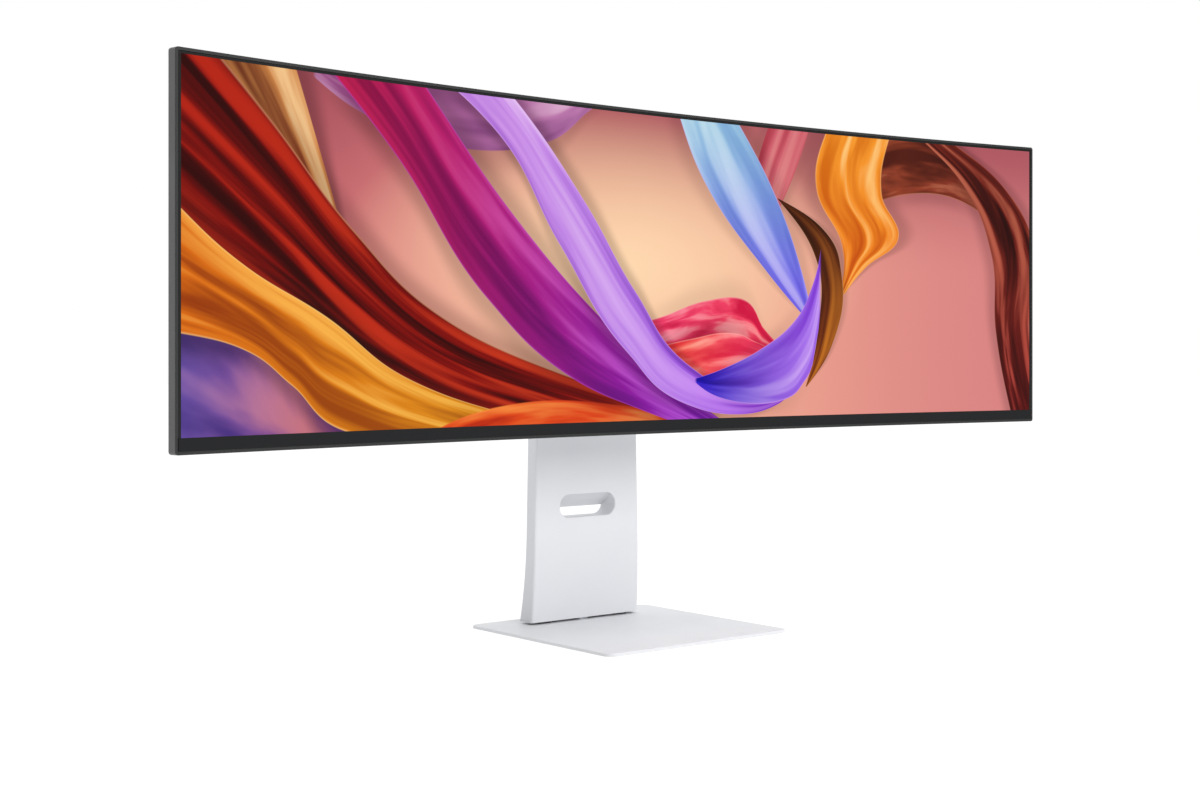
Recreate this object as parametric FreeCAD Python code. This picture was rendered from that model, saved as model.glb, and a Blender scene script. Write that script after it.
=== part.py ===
import FreeCAD, Part
import math
import os

# A curved 32:9 desktop monitor on a plate stand. Millimetres, +Z up. The screen faces -Y.
# The origin is on the table, under the middle of the base plate.

V = FreeCAD.Vector
X_AXIS = V(1, 0, 0)
Y_AXIS = V(0, 1, 0)
Z_AXIS = V(0, 0, 1)

# ---- driving dimensions: screen and display -------------------------------------------------
SCREEN_R = 3800.0          # radius of the screen's curve, measured at its front surface
PICTURE_ARC = 1198.08      # lit width, along the curve
PICTURE_H = 336.96         # lit height
SCREEN_Y = -56.5           # front surface of the screen, at the middle
SCREEN_Z = 409.9           # middle of the picture above the table
SIDE_BORDER = 5.83
TOP_BORDER = 5.59
CHIN = 15.07
LIP = 2.85                 # visible width of the frame's edge, at the top and the sides
BOTTOM_LIP = 3.1
CHIN_COVER = 2.0           # how far the chin laps over the panel's lower border
EDGE_DEPTH = 11.6          # depth of the display at its edge
FRAME_WALL = 1.5
REAR_ROUND = 1.5           # rounding of the frame where its side meets its back
CORNER_ROUND = 3.0         # corners of the display, seen from the front
FRAME_FLANGE = 8.0
COVER_GAP = 0.3
COVER_WALL = 2.2
BACK_Y = 5.0               # flat back of the rear housing

HALF_ARC = PICTURE_ARC / 2 + SIDE_BORDER
DISPLAY_TOP = SCREEN_Z + PICTURE_H / 2 + TOP_BORDER
DISPLAY_BOTTOM = SCREEN_Z - PICTURE_H / 2 - CHIN
PICTURE_BOTTOM = SCREEN_Z - PICTURE_H / 2
CURVE_Y = SCREEN_Y - SCREEN_R      # axis of the curve, parallel to Z

# depths behind the screen's front surface
PANEL_T = 1.6
SHEETS = (1.7, 2.8)
GUIDE = (2.9, 5.3)
REFLECTOR = (5.4, 5.7)
CHASSIS = (5.9, 7.0)
PANEL_EDGE = LIP + 0.15            # the panel stands this far inside the frame's outer edge
PANEL_ARC = HALF_ARC - PANEL_EDGE
PANEL_TOP = DISPLAY_TOP - PANEL_EDGE
PANEL_BOTTOM = PICTURE_BOTTOM - CHIN_COVER

# ---- rear housing ---------------------------------------------------------------------------
HOUSING_ROOT_Y = -72.0             # the slopes start on this plane, in front of the curved shell
HOUSING_HALF = (417.2, 285.0)      # half width on that plane, and at the back
HOUSING_Z_LOW = (263.2, 300.0)
HOUSING_Z_HIGH = (544.5, 510.0)
HOUSING_ROUND = 9.0
POD_HALF = 30.0                    # joystick pod, low in the middle of the back
POD_TOP = 280.0
POD_DEPTH = 32.0
STICK_DEPTH = 20.8                 # joystick axis behind the screen's front surface
STICK_Y = SCREEN_Y + STICK_DEPTH
STICK_PIVOT_Z = 246.0
STICK_HOLE_R = 8.6
LIGHT_X = 16.0                     # status light, beside the joystick
LIGHT_R = 1.5

# ---- fixing of the stand to the display ------------------------------------------------------
MOUNT_Z = 410.0
MOUNT_SPACING = 100.0              # four M4 threads on a 100 mm square
THREAD_R = 1.65
RECESS_HALF = 62.0
RECESS_DEPTH = 6.0
RECESS_ROUND = 7.0
HEAD_HALF = 40.0
HEAD_T = 3.0
MOUNT_FACE_Y = BACK_Y - RECESS_DEPTH
MOUNT_FRAME_T = 2.0

# ---- tilt joint ------------------------------------------------------------------------------
TILT_Y = 36.0
TILT_SHAFT_R = 5.0
RUNNING = 0.05                     # radial clearance of a running fit
BRACKET_LUG = (22.0, 28.0)
HEAD_LUG = (31.0, 35.0)

# ---- stand -----------------------------------------------------------------------------------
BASE_W = 262.0
BASE_D = 253.0
BASE_ROUND = 11.0
BASE_T = 3.2
FOOT_T = 1.1
BASE_TOP = FOOT_T + BASE_T
NECK_BOTTOM = 6.8
NECK_TOP = 474.0
NECK_HALF_AT_ZERO = 79.2           # half width of the neck, extended down to the table
NECK_TAPER = 0.0207                # lost half width per millimetre of height
NECK_FRONT = 72.5
NECK_BACK = 89.2
NECK_FLARE_TOP = 107.0             # below this height the faces curve backwards
NECK_FRONT_FLARE = 4.0
NECK_BACK_FLARE = 9.8
NECK_WALL = 2.4
SPINE_DEPTH = 9.6                  # the middle of the neck's back stands out by this much
SPINE_HALF = (62.0, 50.0)
SWIVEL_Y = 89.0
POST_R = 7.0
FOOT_TOP = 40.0
COLUMN_HALF = 46.0
COLUMN_T = 2.4
COLUMN_Y = (77.2, 96.2)
COLUMN_TOP = 468.0
SLOT_HALF = 41.0                   # cable slot
SLOT_Z = (124.9, 151.2)
SLOT_BACK_TOP = 133.5
SLOT_WALL = 2.0
LIFT_TRAVEL = 110.0
GUIDE_ROD_R = 4.0
GUIDE_ROD_X = 34.0
GUIDE_ROD_Y = 84.5
ROD_HOLDER_Z = ((250.0, 255.0), (444.0, 447.0))
CARRIAGE_Z = (378.0, 442.0)
CARRIAGE_Y = (77.0, 81.0)
SPRING_R = 8.4
SPRING_Y = 84.9
SPRING_Z = 457.0
ARBOR_R = 5.4


# ---- helpers ---------------------------------------------------------------------------------
def box(x, y, z):
    """Box between two limits on each axis."""
    return Part.makeBox(x[1] - x[0], y[1] - y[0], z[1] - z[0], V(x[0], y[0], z[0]))


def rod(radius, start, axis, length):
    return Part.makeCylinder(radius, length, start, axis)


def tube(outer, inner, start, axis, length):
    return rod(outer, start, axis, length).cut(rod(inner, start, axis, length))


def prism(points, along):
    return Part.Face(Part.makePolygon(points + points[:1])).extrude(along)


def parallel_edges(shape, axis):
    """Straight edges of a shape that run along an axis."""
    found = []
    for edge in shape.Edges:
        if not isinstance(edge.Curve, Part.Line):
            continue
        if edge.tangentAt(edge.FirstParameter).cross(axis).Length < 1e-6:
            found.append(edge)
    return found


def rounded_box(x, y, z, radius, axis):
    """Box whose edges along one axis are rounded."""
    shape = box(x, y, z)
    return shape.makeFillet(radius, parallel_edges(shape, axis))


def both_sides(shape):
    """The shape and its mirror image in the middle plane of the monitor."""
    return [shape, shape.mirror(V(0, 0, 0), X_AXIS)]


def depth_y(x, depth):
    """Y of the point at x that lies at a depth behind the screen's front surface."""
    return CURVE_Y + math.sqrt((SCREEN_R + depth) ** 2 - x * x)


def sector(depth, half_arc, z):
    """Slab that follows the screen's curve between two depths."""
    turn = half_arc / SCREEN_R

    def at(radius, angle):
        return V(radius * math.sin(angle), CURVE_Y + radius * math.cos(angle), z[0])

    near = SCREEN_R + depth[0]
    far = SCREEN_R + depth[1]
    edges = [
        Part.Arc(at(near, -turn), at(near, 0), at(near, turn)).toShape(),
        Part.LineSegment(at(near, turn), at(far, turn)).toShape(),
        Part.Arc(at(far, turn), at(far, 0), at(far, -turn)).toShape(),
        Part.LineSegment(at(far, -turn), at(near, -turn)).toShape(),
    ]
    return Part.Face(Part.Wire(edges)).extrude(V(0, 0, z[1] - z[0]))


def on_curve(shape, arc):
    """Move a shape that is drawn at the middle of the screen along the curve."""
    turned = shape.copy()
    turned.rotate(V(0, CURVE_Y, 0), Z_AXIS, -math.degrees(arc / SCREEN_R))
    return turned


def save(name, shapes):
    """Write one sub-part; several separate solids of one kind share a file."""
    if not isinstance(shapes, list):
        shapes = [shapes]
    solids = [solid for shape in shapes for solid in shape.Solids]
    for solid in solids:
        assert solid.isValid() and solid.Volume > 0, name
    whole = solids[0] if len(solids) == 1 else Part.Compound(solids)
    whole.exportStep(os.path.join("parts", name + ".step"))


# ---- display: frame and screen ---------------------------------------------------------------
def edge_z(inset):
    return (DISPLAY_BOTTOM + inset, DISPLAY_TOP - inset)


def rounded_sector(depth, half_arc, z, radius):
    """Curved slab with its four corners rounded, as seen from the front."""
    slab = sector(depth, half_arc, z)
    corners = [e for e in slab.Edges if abs(e.Length - (depth[1] - depth[0])) < 1e-3]
    return slab.makeFillet(radius, corners)


def middle_frame():
    """Wall around the display, with a flange behind that carries the rear cover."""
    outer = rounded_sector((0.8, EDGE_DEPTH), HALF_ARC, edge_z(0), CORNER_ROUND)
    back_rim = [e for e in outer.Edges if abs(rim_depth(e) - EDGE_DEPTH) < 1e-3]
    outer = outer.makeFillet(REAR_ROUND, back_rim)
    wall = FRAME_WALL
    inner = sector((0, EDGE_DEPTH - wall), HALF_ARC - wall, edge_z(wall))
    flange = FRAME_FLANGE
    opening = sector((0, EDGE_DEPTH + 1), HALF_ARC - flange, edge_z(flange))
    return outer.cut(inner).cut(opening)


def rim_depth(edge):
    """Depth of an edge's middle behind the screen's front surface."""
    middle = edge.valueAt((edge.FirstParameter + edge.LastParameter) / 2)
    return math.hypot(middle.x, middle.y - CURVE_Y) - SCREEN_R


def front_frame():
    """Thin dark edge seen around the picture: a front flange and a leg that grips the frame."""
    flange = rounded_sector((-0.1, 0.75), HALF_ARC, edge_z(0), CORNER_ROUND)
    window_z = (DISPLAY_BOTTOM + BOTTOM_LIP, DISPLAY_TOP - LIP)
    window = sector((-1, 1), HALF_ARC - LIP, window_z)
    near = FRAME_WALL + 0.1
    leg = sector((0.7, 5.0), HALF_ARC - near, edge_z(near))
    far = near + 1.0
    leg = leg.cut(sector((0, 6), HALF_ARC - far, edge_z(far)))
    return flange.cut(window).fuse(leg)


def chin_bezel():
    """Strip below the picture, which laps over the panel's lower border."""
    low = DISPLAY_BOTTOM + BOTTOM_LIP + 0.05
    arc = HALF_ARC - LIP - 0.1
    front = sector((-0.8, -0.02), arc, (low, PICTURE_BOTTOM))
    back = sector((-0.1, 1.5), arc, (low, PANEL_BOTTOM - 0.2))
    return front.fuse(back)


def lcd_panel():
    return sector((0, PANEL_T), PANEL_ARC, (PANEL_BOTTOM, PANEL_TOP))


def optical_layer(depth, inset):
    return sector(depth, PANEL_ARC - inset, (PANEL_BOTTOM + inset, PANEL_TOP - inset))


LED_PITCH = 12.0
LED_COUNT = 96
LED_HALF = 2.6
LED_HEIGHT = 1.6
LED_DROP = 3.2                     # the strip lies this far below the panel's lower edge


def led_bar():
    """Strip board below the light guide with its row of lamps."""
    top = PANEL_BOTTOM - LED_DROP
    strip = sector(GUIDE, PANEL_ARC - 6, (top - 1, top))
    lamp = box((-LED_HALF, LED_HALF), (SCREEN_Y + 3.2, SCREEN_Y + 5.0), (top - 0.2, top + LED_HEIGHT))
    first = -LED_PITCH * (LED_COUNT - 1) / 2
    return strip.fuse([on_curve(lamp, first + LED_PITCH * index) for index in range(LED_COUNT)])


def panel_chassis():
    """Metal tray behind the screen, with a low rim round the optical sheets."""
    z = (PANEL_BOTTOM - 6, PANEL_TOP)
    tray = sector((CHASSIS[0], CHASSIS[1]), PANEL_ARC, z)
    rim = sector((PANEL_T + 0.1, CHASSIS[0]), PANEL_ARC, z)
    hollow = sector((0, CHASSIS[0]), PANEL_ARC - 0.8, (z[0] + 0.8, z[1] - 0.8))
    return tray.fuse(rim.cut(hollow))


# ---- display: rear housing -------------------------------------------------------------------
def housing(inset, depth):
    """Raised middle of the back: two crossed outlines, trimmed to a depth behind the screen."""
    back = BACK_Y - inset
    root_half = HOUSING_HALF[0] - inset
    back_half = HOUSING_HALF[1] - inset
    plan = prism([V(-root_half, HOUSING_ROOT_Y, 200), V(-back_half, back, 200),
                  V(back_half, back, 200), V(root_half, HOUSING_ROOT_Y, 200)], V(0, 0, 400))
    low = [z + inset for z in HOUSING_Z_LOW]
    high = [z - inset for z in HOUSING_Z_HIGH]
    side = prism([V(-450, HOUSING_ROOT_Y, low[0]), V(-450, back, low[1]),
                  V(-450, back, high[1]), V(-450, HOUSING_ROOT_Y, high[0])], V(900, 0, 0))
    solid = plan.common(side)
    raised = [e for e in solid.Edges if e.BoundBox.YMax > back - 1e-3]
    solid = solid.makeFillet(HOUSING_ROUND, raised)
    return solid.common(sector((depth, 200), 500, (200, 600)))


def pod(inset, depth):
    """Bump low on the back that holds the joystick."""
    low = DISPLAY_BOTTOM + FRAME_FLANGE + COVER_GAP
    back = SCREEN_Y + POD_DEPTH - inset
    half = POD_HALF - inset
    side = prism([V(-half, SCREEN_Y, low + inset), V(-half, back, low + inset),
                  V(-half, back, POD_TOP - 16), V(-half, SCREEN_Y, POD_TOP + 8 - inset)],
                 V(2 * half, 0, 0))
    return side.common(sector((depth, 200), 500, (200, 600)))


SOCKET_WINDOW_X = (96.0, 256.0)
INLET_WINDOW_X = (-262.0, -206.0)
WINDOW_Z = (348.0, 384.0)
TRAY_FLOOR_Y = -12.0
TRAY_WALL = 1.6
BUTTON_Z = 334.0
BUTTON_HALF = (14.0, 5.0)
LOCK_X = -180.0
LOCK_Z = 330.0
VENT_PITCH = 9.0
VENT_WIDTH = 3.4
VENT_HALF_RUN = 198.0
SPEAKER_X = (112.0, 236.0)


def row_of_slots(first, last, pitch, width, y, z):
    count = int((last - first) / pitch) + 1
    middle = (first + last) / 2
    start = middle - pitch * (count - 1) / 2
    slots = []
    for index in range(count):
        x = start + pitch * index
        slots.append(box((x - width / 2, x + width / 2), y, z))
    return slots


COVER_HEAD_R = 3.5
COVER_SHANK_R = 1.5
COVER_HEAD_SINK = 0.8              # the head lies this far under the shell's outer face
CROSS_HALF = (1.9, 0.4)            # half length and half width of the cross recess


def cover_screw_places():
    """(arc position, height) of the screws that hold the rear cover to the chassis."""
    outer = [(side * 575.0, z) for side in (-1, 1) for z in (262.0, 410.0, 552.0)]
    inner = [(side * 300.0, z) for side in (-1, 1) for z in (252.0, 562.0)]
    return outer + inner


def rear_cover():
    inset = FRAME_FLANGE + COVER_GAP
    depth = (EDGE_DEPTH - COVER_WALL + 0.2, EDGE_DEPTH + 0.2)
    shell = rounded_sector(depth, HALF_ARC - inset, edge_z(inset), 4.0)
    shell = shell.fuse(housing(0, depth[0])).fuse(pod(0, depth[0]))
    shell = shell.cut(housing(COVER_WALL, 0)).cut(pod(COVER_WALL, 0))
    rim_out = rounded_box((-RECESS_HALF - 2, RECESS_HALF + 2), (MOUNT_FACE_Y, BACK_Y - 0.5),
                          (MOUNT_Z - RECESS_HALF - 2, MOUNT_Z + RECESS_HALF + 2),
                          RECESS_ROUND + 2, Y_AXIS)
    rim_in = rounded_box((-RECESS_HALF, RECESS_HALF), (MOUNT_FACE_Y - 5, BACK_Y + 5),
                         (MOUNT_Z - RECESS_HALF, MOUNT_Z + RECESS_HALF), RECESS_ROUND, Y_AXIS)
    shell = shell.fuse(rim_out).cut(rim_in)
    through = (BACK_Y - 8, BACK_Y + 4)
    tools = [rounded_box(x, through, WINDOW_Z, 2.5, Y_AXIS) for x in (SOCKET_WINDOW_X, INLET_WINDOW_X)]
    half_x, half_z = BUTTON_HALF
    tools.append(rounded_box((-half_x - 0.4, half_x + 0.4), through,
                             (BUTTON_Z - half_z - 0.4, BUTTON_Z + half_z + 0.4), 3.4, Y_AXIS))
    tools.append(box((LOCK_X - 3.6, LOCK_X + 3.6), through, (LOCK_Z - 1.6, LOCK_Z + 1.6)))
    top = (HOUSING_Z_HIGH[1] - 8, HOUSING_Z_HIGH[0] + 4)
    tools += row_of_slots(-VENT_HALF_RUN, VENT_HALF_RUN, VENT_PITCH, VENT_WIDTH, (-36, -12), top)
    low = (HOUSING_Z_LOW[0] - 4, HOUSING_Z_LOW[1] + 6)
    for side in (-1, 1):
        ends = sorted(side * (x + dx) for x, dx in zip(SPEAKER_X, (8, -8)))
        tools += row_of_slots(ends[0], ends[1], 6.0, 2.6, (-38, -18), low)
    tools.append(rod(STICK_HOLE_R, V(0, STICK_Y, DISPLAY_BOTTOM), Z_AXIS, 14))
    tools.append(rod(LIGHT_R + 0.1, V(LIGHT_X, STICK_Y, DISPLAY_BOTTOM), Z_AXIS, 14))
    for arc, z in cover_screw_places():
        head = rod(COVER_HEAD_R + 0.2, V(0, SCREEN_Y + EDGE_DEPTH - COVER_HEAD_SINK, z), Y_AXIS, 3)
        shank = rod(COVER_SHANK_R + 0.2, V(0, SCREEN_Y + EDGE_DEPTH - 4, z), Y_AXIS, 6)
        tools.append(on_curve(head.fuse(shank), arc))
    return shell.cut(tools)


def cross_recess(x, y, z):
    """Two crossed slots for a screwdriver, between two limits of y."""
    long, short = CROSS_HALF
    return [box((x - long, x + long), y, (z - short, z + short)),
            box((x - short, x + short), y, (z - long, z + long))]


def cover_screws():
    screws = []
    seat = EDGE_DEPTH - COVER_HEAD_SINK
    recess = (SCREEN_Y + EDGE_DEPTH - 0.4, SCREEN_Y + EDGE_DEPTH + 1)
    for arc, z in cover_screw_places():
        head = rod(COVER_HEAD_R, V(0, SCREEN_Y + seat, z), Y_AXIS, 0.9)
        shank = rod(COVER_SHANK_R, V(0, SCREEN_Y + CHASSIS[1], z), Y_AXIS, seat - CHASSIS[1])
        screws.append(on_curve(head.cut(cross_recess(0, recess, z)).fuse(shank), arc))
    return screws


PLATE_HALF = RECESS_HALF + 4
LEG_PLACE = 58.0
LEG_R = 6.0
BOSS_R = 4.5
BOSS_DEPTH = 8.0
HOOK_X = 25.0                      # the head plate's two hooks, and their slots
HOOK_Z = MOUNT_Z + 29
LATCH_SLOT = (MOUNT_Z - 54, MOUNT_Z - 34)


def mount_frame():
    """Steel plate behind the recess: four threaded bosses, hook slots and legs to the chassis."""
    face = MOUNT_FACE_Y
    back = face - MOUNT_FRAME_T
    plate = rounded_box((-PLATE_HALF, PLATE_HALF), (back, face),
                        (MOUNT_Z - PLATE_HALF, MOUNT_Z + PLATE_HALF), 8, Y_AXIS)
    half = MOUNT_SPACING / 2
    bosses = []
    holes = []
    for x in (-half, half):
        for z in (MOUNT_Z - half, MOUNT_Z + half):
            bosses.append(rod(BOSS_R, V(x, back - BOSS_DEPTH, z), Y_AXIS, BOSS_DEPTH))
            holes.append(rod(THREAD_R, V(x, back - BOSS_DEPTH - 1, z), Y_AXIS, 14))
    legs = []
    for x in (-LEG_PLACE, LEG_PLACE):
        start = depth_y(LEG_PLACE - LEG_R, CHASSIS[1]) + 0.05
        for z in (MOUNT_Z - LEG_PLACE, MOUNT_Z + LEG_PLACE):
            legs.append(rod(LEG_R, V(x, start, z), Y_AXIS, back - start))
    for x in (-HOOK_X, HOOK_X):
        holes.append(box((x - 6, x + 6), (back - 1, face + 1), (HOOK_Z - 1, HOOK_Z + 10)))
    holes.append(box((-7, 7), (back - 1, face + 1), LATCH_SLOT))
    return plate.fuse(bosses + legs).cut(holes)


# ---- display: sockets ------------------------------------------------------------------------
SOCKET_Z = 366.0
BOARD_Y = (-30.0, -28.4)

# name: (half width, half height, places along x)
SOCKET_SIZES = {
    "hdmi_sockets": (7.5, 2.8, (116.0, 140.0)),
    "display_port_socket": (8.6, 2.9, (164.0,)),
    "usb_c_socket": (4.8, 1.9, (184.0,)),
    "usb_a_sockets": (6.8, 3.1, (204.0, 224.0)),
}
SHELL_WALL = 0.5
MOUTH_DEPTH = 12.0
SOCKET_SLACK = 0.3                 # gap round a socket in the tray's floor
JACK_X = 243.0
JACK_R = 3.6
JACK_BORE_R = 1.85
INLET_X = -234.0
INLET_HALF = (13.6, 9.6)
INLET_FACE = TRAY_FLOOR_Y + 1.0
INLET_WELL = (12.3, 8.3, 4.0)      # half width, half height and cut corner
INLET_DEPTH = 15.5
BLADE_HALF = (1.0, 2.0)
BLADE_PLACES = ((-7.0, -2.0), (7.0, -2.0), (0.0, 2.0))


def tray(window, cutouts):
    """Pocket behind a window in the rear cover; its floor is pierced for the sockets."""
    x = (window[0] - TRAY_WALL - 0.6, window[1] + TRAY_WALL + 0.6)
    z = (WINDOW_Z[0] - TRAY_WALL - 0.6, WINDOW_Z[1] + TRAY_WALL + 0.6)
    inside_x = (x[0] + TRAY_WALL, x[1] - TRAY_WALL)
    inside_z = (z[0] + TRAY_WALL, z[1] - TRAY_WALL)
    mouth = BACK_Y - COVER_WALL - 0.1
    shell = box(x, (TRAY_FLOOR_Y - TRAY_WALL, mouth), z)
    return shell.cut(box(inside_x, (TRAY_FLOOR_Y, mouth + 1), inside_z)).cut(cutouts)


def socket_window(x, half_x, half_z, y):
    """Block that cuts the hole for one socket."""
    wide = half_x + SOCKET_SLACK
    high = half_z + SOCKET_SLACK
    return box((x - wide, x + wide), y, (SOCKET_Z - high, SOCKET_Z + high))


def socket_tray():
    through = (TRAY_FLOOR_Y - 4, TRAY_FLOOR_Y + 2)
    cutouts = []
    for half_x, half_z, places in SOCKET_SIZES.values():
        for x in places:
            cutouts.append(socket_window(x, half_x, half_z, through))
    cutouts.append(rod(JACK_R + SOCKET_SLACK, V(JACK_X, TRAY_FLOOR_Y - 4, SOCKET_Z), Y_AXIS, 6))
    return tray(SOCKET_WINDOW_X, cutouts)


def inlet_tray():
    half_x, half_z = INLET_HALF
    cutout = socket_window(INLET_X, half_x, half_z, (TRAY_FLOOR_Y - 4, TRAY_FLOOR_Y + 2))
    return tray(INLET_WINDOW_X, [cutout])


def socket(x, half_x, half_z, tongue_half, tongue_z, tongue_t):
    """Metal shell with an open mouth at the rear and a contact tongue inside."""
    wall = SHELL_WALL
    face = TRAY_FLOOR_Y + 0.4
    shell = rounded_box((x - half_x, x + half_x), (BOARD_Y[1], face),
                        (SOCKET_Z - half_z, SOCKET_Z + half_z), half_z * 0.3, Y_AXIS)
    mouth = rounded_box((x - half_x + wall, x + half_x - wall), (face - MOUTH_DEPTH, face + 1),
                        (SOCKET_Z - half_z + wall, SOCKET_Z + half_z - wall), half_z * 0.2, Y_AXIS)
    tongue = box((x - tongue_half, x + tongue_half), (face - MOUTH_DEPTH - 0.5, face - 2),
                 (SOCKET_Z + tongue_z, SOCKET_Z + tongue_z + tongue_t))
    return shell.cut(mouth).fuse(tongue)


def socket_row(name, tongue_half, tongue_z, tongue_t):
    half_x, half_z, places = SOCKET_SIZES[name]
    return [socket(x, half_x, half_z, tongue_half, tongue_z, tongue_t) for x in places]


def headphone_socket():
    face = TRAY_FLOOR_Y + 0.6
    body = rod(JACK_R, V(JACK_X, BOARD_Y[1], SOCKET_Z), Y_AXIS, face - BOARD_Y[1])
    return body.cut(rod(JACK_BORE_R, V(JACK_X, face - 14, SOCKET_Z), Y_AXIS, 15))


def mains_inlet():
    """Body of the three-blade inlet, with a well that has two cut corners."""
    half_x, half_z = INLET_HALF
    body = rounded_box((INLET_X - half_x, INLET_X + half_x), (BOARD_Y[1], INLET_FACE),
                       (SOCKET_Z - half_z, SOCKET_Z + half_z), 1.5, Y_AXIS)
    well_x, well_z, cut_corner = INLET_WELL
    outline = [(-well_x, -well_z), (well_x, -well_z), (well_x, well_z - cut_corner),
               (well_x - cut_corner, well_z), (-well_x + cut_corner, well_z), (-well_x, well_z - cut_corner)]
    well = prism([V(INLET_X + x, INLET_FACE - INLET_DEPTH, SOCKET_Z + z) for x, z in outline], V(0, 20, 0))
    return body.cut(well)


def inlet_blades():
    y = (INLET_FACE - INLET_DEPTH, INLET_FACE - 1.5)
    half_x, half_z = BLADE_HALF
    blades = []
    for dx, dz in BLADE_PLACES:
        x = INLET_X + dx
        z = SOCKET_Z + dz
        blades.append(box((x - half_x, x + half_x), y, (z - half_z, z + half_z)))
    return blades


def lock_plate():
    """Steel plate behind the security slot."""
    face = BACK_Y - COVER_WALL - 0.1
    plate = box((LOCK_X - 12, LOCK_X + 12), (face - 2, face), (LOCK_Z - 8, LOCK_Z + 8))
    return plate.cut(box((LOCK_X - 3.5, LOCK_X + 3.5), (face - 3, face + 1), (LOCK_Z - 1.5, LOCK_Z + 1.5)))


# ---- display: electronics --------------------------------------------------------------------
MAIN_BOARD_X = (92.0, 262.0)
POWER_BOARD_X = (-262.0, -92.0)
BOARD_Z = (342.0, 470.0)
POST_HOLE_R = 1.7
PROCESSOR = ((112, 134), (440, 462))
MEMORY_X = ((208, 222), (228, 242))
MEMORY_Z = (418, 440)
HEAT_SINK = ((150, 196), (410, 456))
FIN_PITCH = 5.5
TRANSFORMER = ((-206, -164), (400, 436), 24)
COIL = ((-246, -222), (404, 430), 18)
CAPACITOR_X = (-146, -124, -102)


def board(x, z, y):
    """Circuit board with a hole near each corner."""
    plate = box(x, y, z)
    holes = [rod(POST_HOLE_R, V(px, y[0] - 1, pz), Y_AXIS, 4) for px, pz in board_corners(x, z)]
    return plate.cut(holes)


def board_corners(x, z):
    return [(px, pz) for px in (x[0] + 5, x[1] - 5) for pz in (z[0] + 5, z[1] - 5)]


def board_posts():
    """Stand-offs between the chassis and the circuit boards, each with its screw."""
    posts = []
    for x in (MAIN_BOARD_X, POWER_BOARD_X):
        for px, pz in board_corners(x, BOARD_Z):
            start = depth_y(abs(px) - 3, CHASSIS[1]) + 0.05
            post = rod(3, V(px, start, pz), Y_AXIS, BOARD_Y[0] - start)
            shank = rod(1.5, V(px, BOARD_Y[0] - 1, pz), Y_AXIS, 4)
            head = rod(2.8, V(px, BOARD_Y[1], pz), Y_AXIS, 1.6)
            posts.append(post.fuse([shank, head]))
    return posts


def main_board():
    """Signal board with its processor, memory and a row of small parts."""
    y = (BOARD_Y[1] - 0.1, BOARD_Y[1] + 1.8)
    chips = [box(PROCESSOR[0], y, PROCESSOR[1])] + [box(x, y, MEMORY_Z) for x in MEMORY_X]
    chips += row_of_slots(118, 238, 20, 8, (y[0], y[0] + 1.2), (396, 402))
    return board(MAIN_BOARD_X, BOARD_Z, BOARD_Y).fuse(chips)


def heat_sink():
    x, z = HEAT_SINK
    root = BOARD_Y[1] + 3
    base = box(x, (BOARD_Y[1], root), z)
    fins = row_of_slots(x[0] + 1, x[1] - 1, FIN_PITCH, 1.4, (root, root + 12), z)
    return base.fuse(fins)


def power_board():
    """Power board with its transformer, coil and smoothing capacitors."""
    y = BOARD_Y[1] - 0.1
    pieces = [box(x, (y, y + height), z) for x, z, height in (TRANSFORMER, COIL)]
    for x in CAPACITOR_X:
        pieces.append(rod(8.5, V(x, y, 452), Y_AXIS, 25))
        pieces.append(rod(6.0, V(x, y, 428), Y_AXIS, 20))
    return board(POWER_BOARD_X, BOARD_Z, BOARD_Y).fuse(pieces)


SPEAKER_Y = (-44, -10)
SPEAKER_Z = (306, 338)
CONE_AT = (174, -27)
CONE_HOLE_R = 12.4


def speakers():
    """Closed chambers at the bottom of the housing, each with a cone that faces down."""
    chamber = rounded_box(SPEAKER_X, SPEAKER_Y, SPEAKER_Z, 4, X_AXIS)
    x, y = CONE_AT
    low = SPEAKER_Z[0]
    hole = rod(CONE_HOLE_R, V(x, y, low - 1), Z_AXIS, 10)
    hollow = box(*[(limits[0] + 2, limits[1] - 2) for limits in (SPEAKER_X, SPEAKER_Y, SPEAKER_Z)])
    rim = tube(CONE_HOLE_R - 0.1, 9.5, V(x, y, low + 0.2), Z_AXIS, 1.6)
    cone = Part.makeCone(9.7, 4.0, 6.0, V(x, y, low + 1.2), Z_AXIS)
    well = Part.makeCone(9.0, 3.2, 5.4, V(x, y, low + 1.1), Z_AXIS)
    return both_sides(chamber.cut(hollow).cut(hole)) + both_sides(rim.fuse(cone.cut(well)))


# ---- display: joystick -----------------------------------------------------------------------
KNOB_R = 6.0
KNOB_BOTTOM = 226.6
KNOB_H = 6.2
STEM_R = 1.4
STEM_END = KNOB_BOTTOM + 3.4
PIVOT_R = 0.7
BLOCK_HALF = 8.0
RING_R = (3.8, 5.4)


def joystick_base():
    """Switch block with two legs that hold the gimbal ring."""
    z = STICK_PIVOT_Z
    wide = (STICK_Y - BLOCK_HALF, STICK_Y + BLOCK_HALF)
    block = box((-BLOCK_HALF, BLOCK_HALF), wide, (z + 5, z + 12))
    legs = []
    for side in (-1, 1):
        y = sorted((STICK_Y + side * 6.2, STICK_Y + side * 7.8))
        legs.append(box((-2.5, 2.5), y, (z - 2.5, z + 5)))
    bore = rod(PIVOT_R + RUNNING, V(0, STICK_Y - 9, z), Y_AXIS, 18)
    board_plate = box((-20, 20), wide, (z + 12, z + 13.4))
    return block.fuse(legs + [board_plate]).cut(bore)


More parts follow.
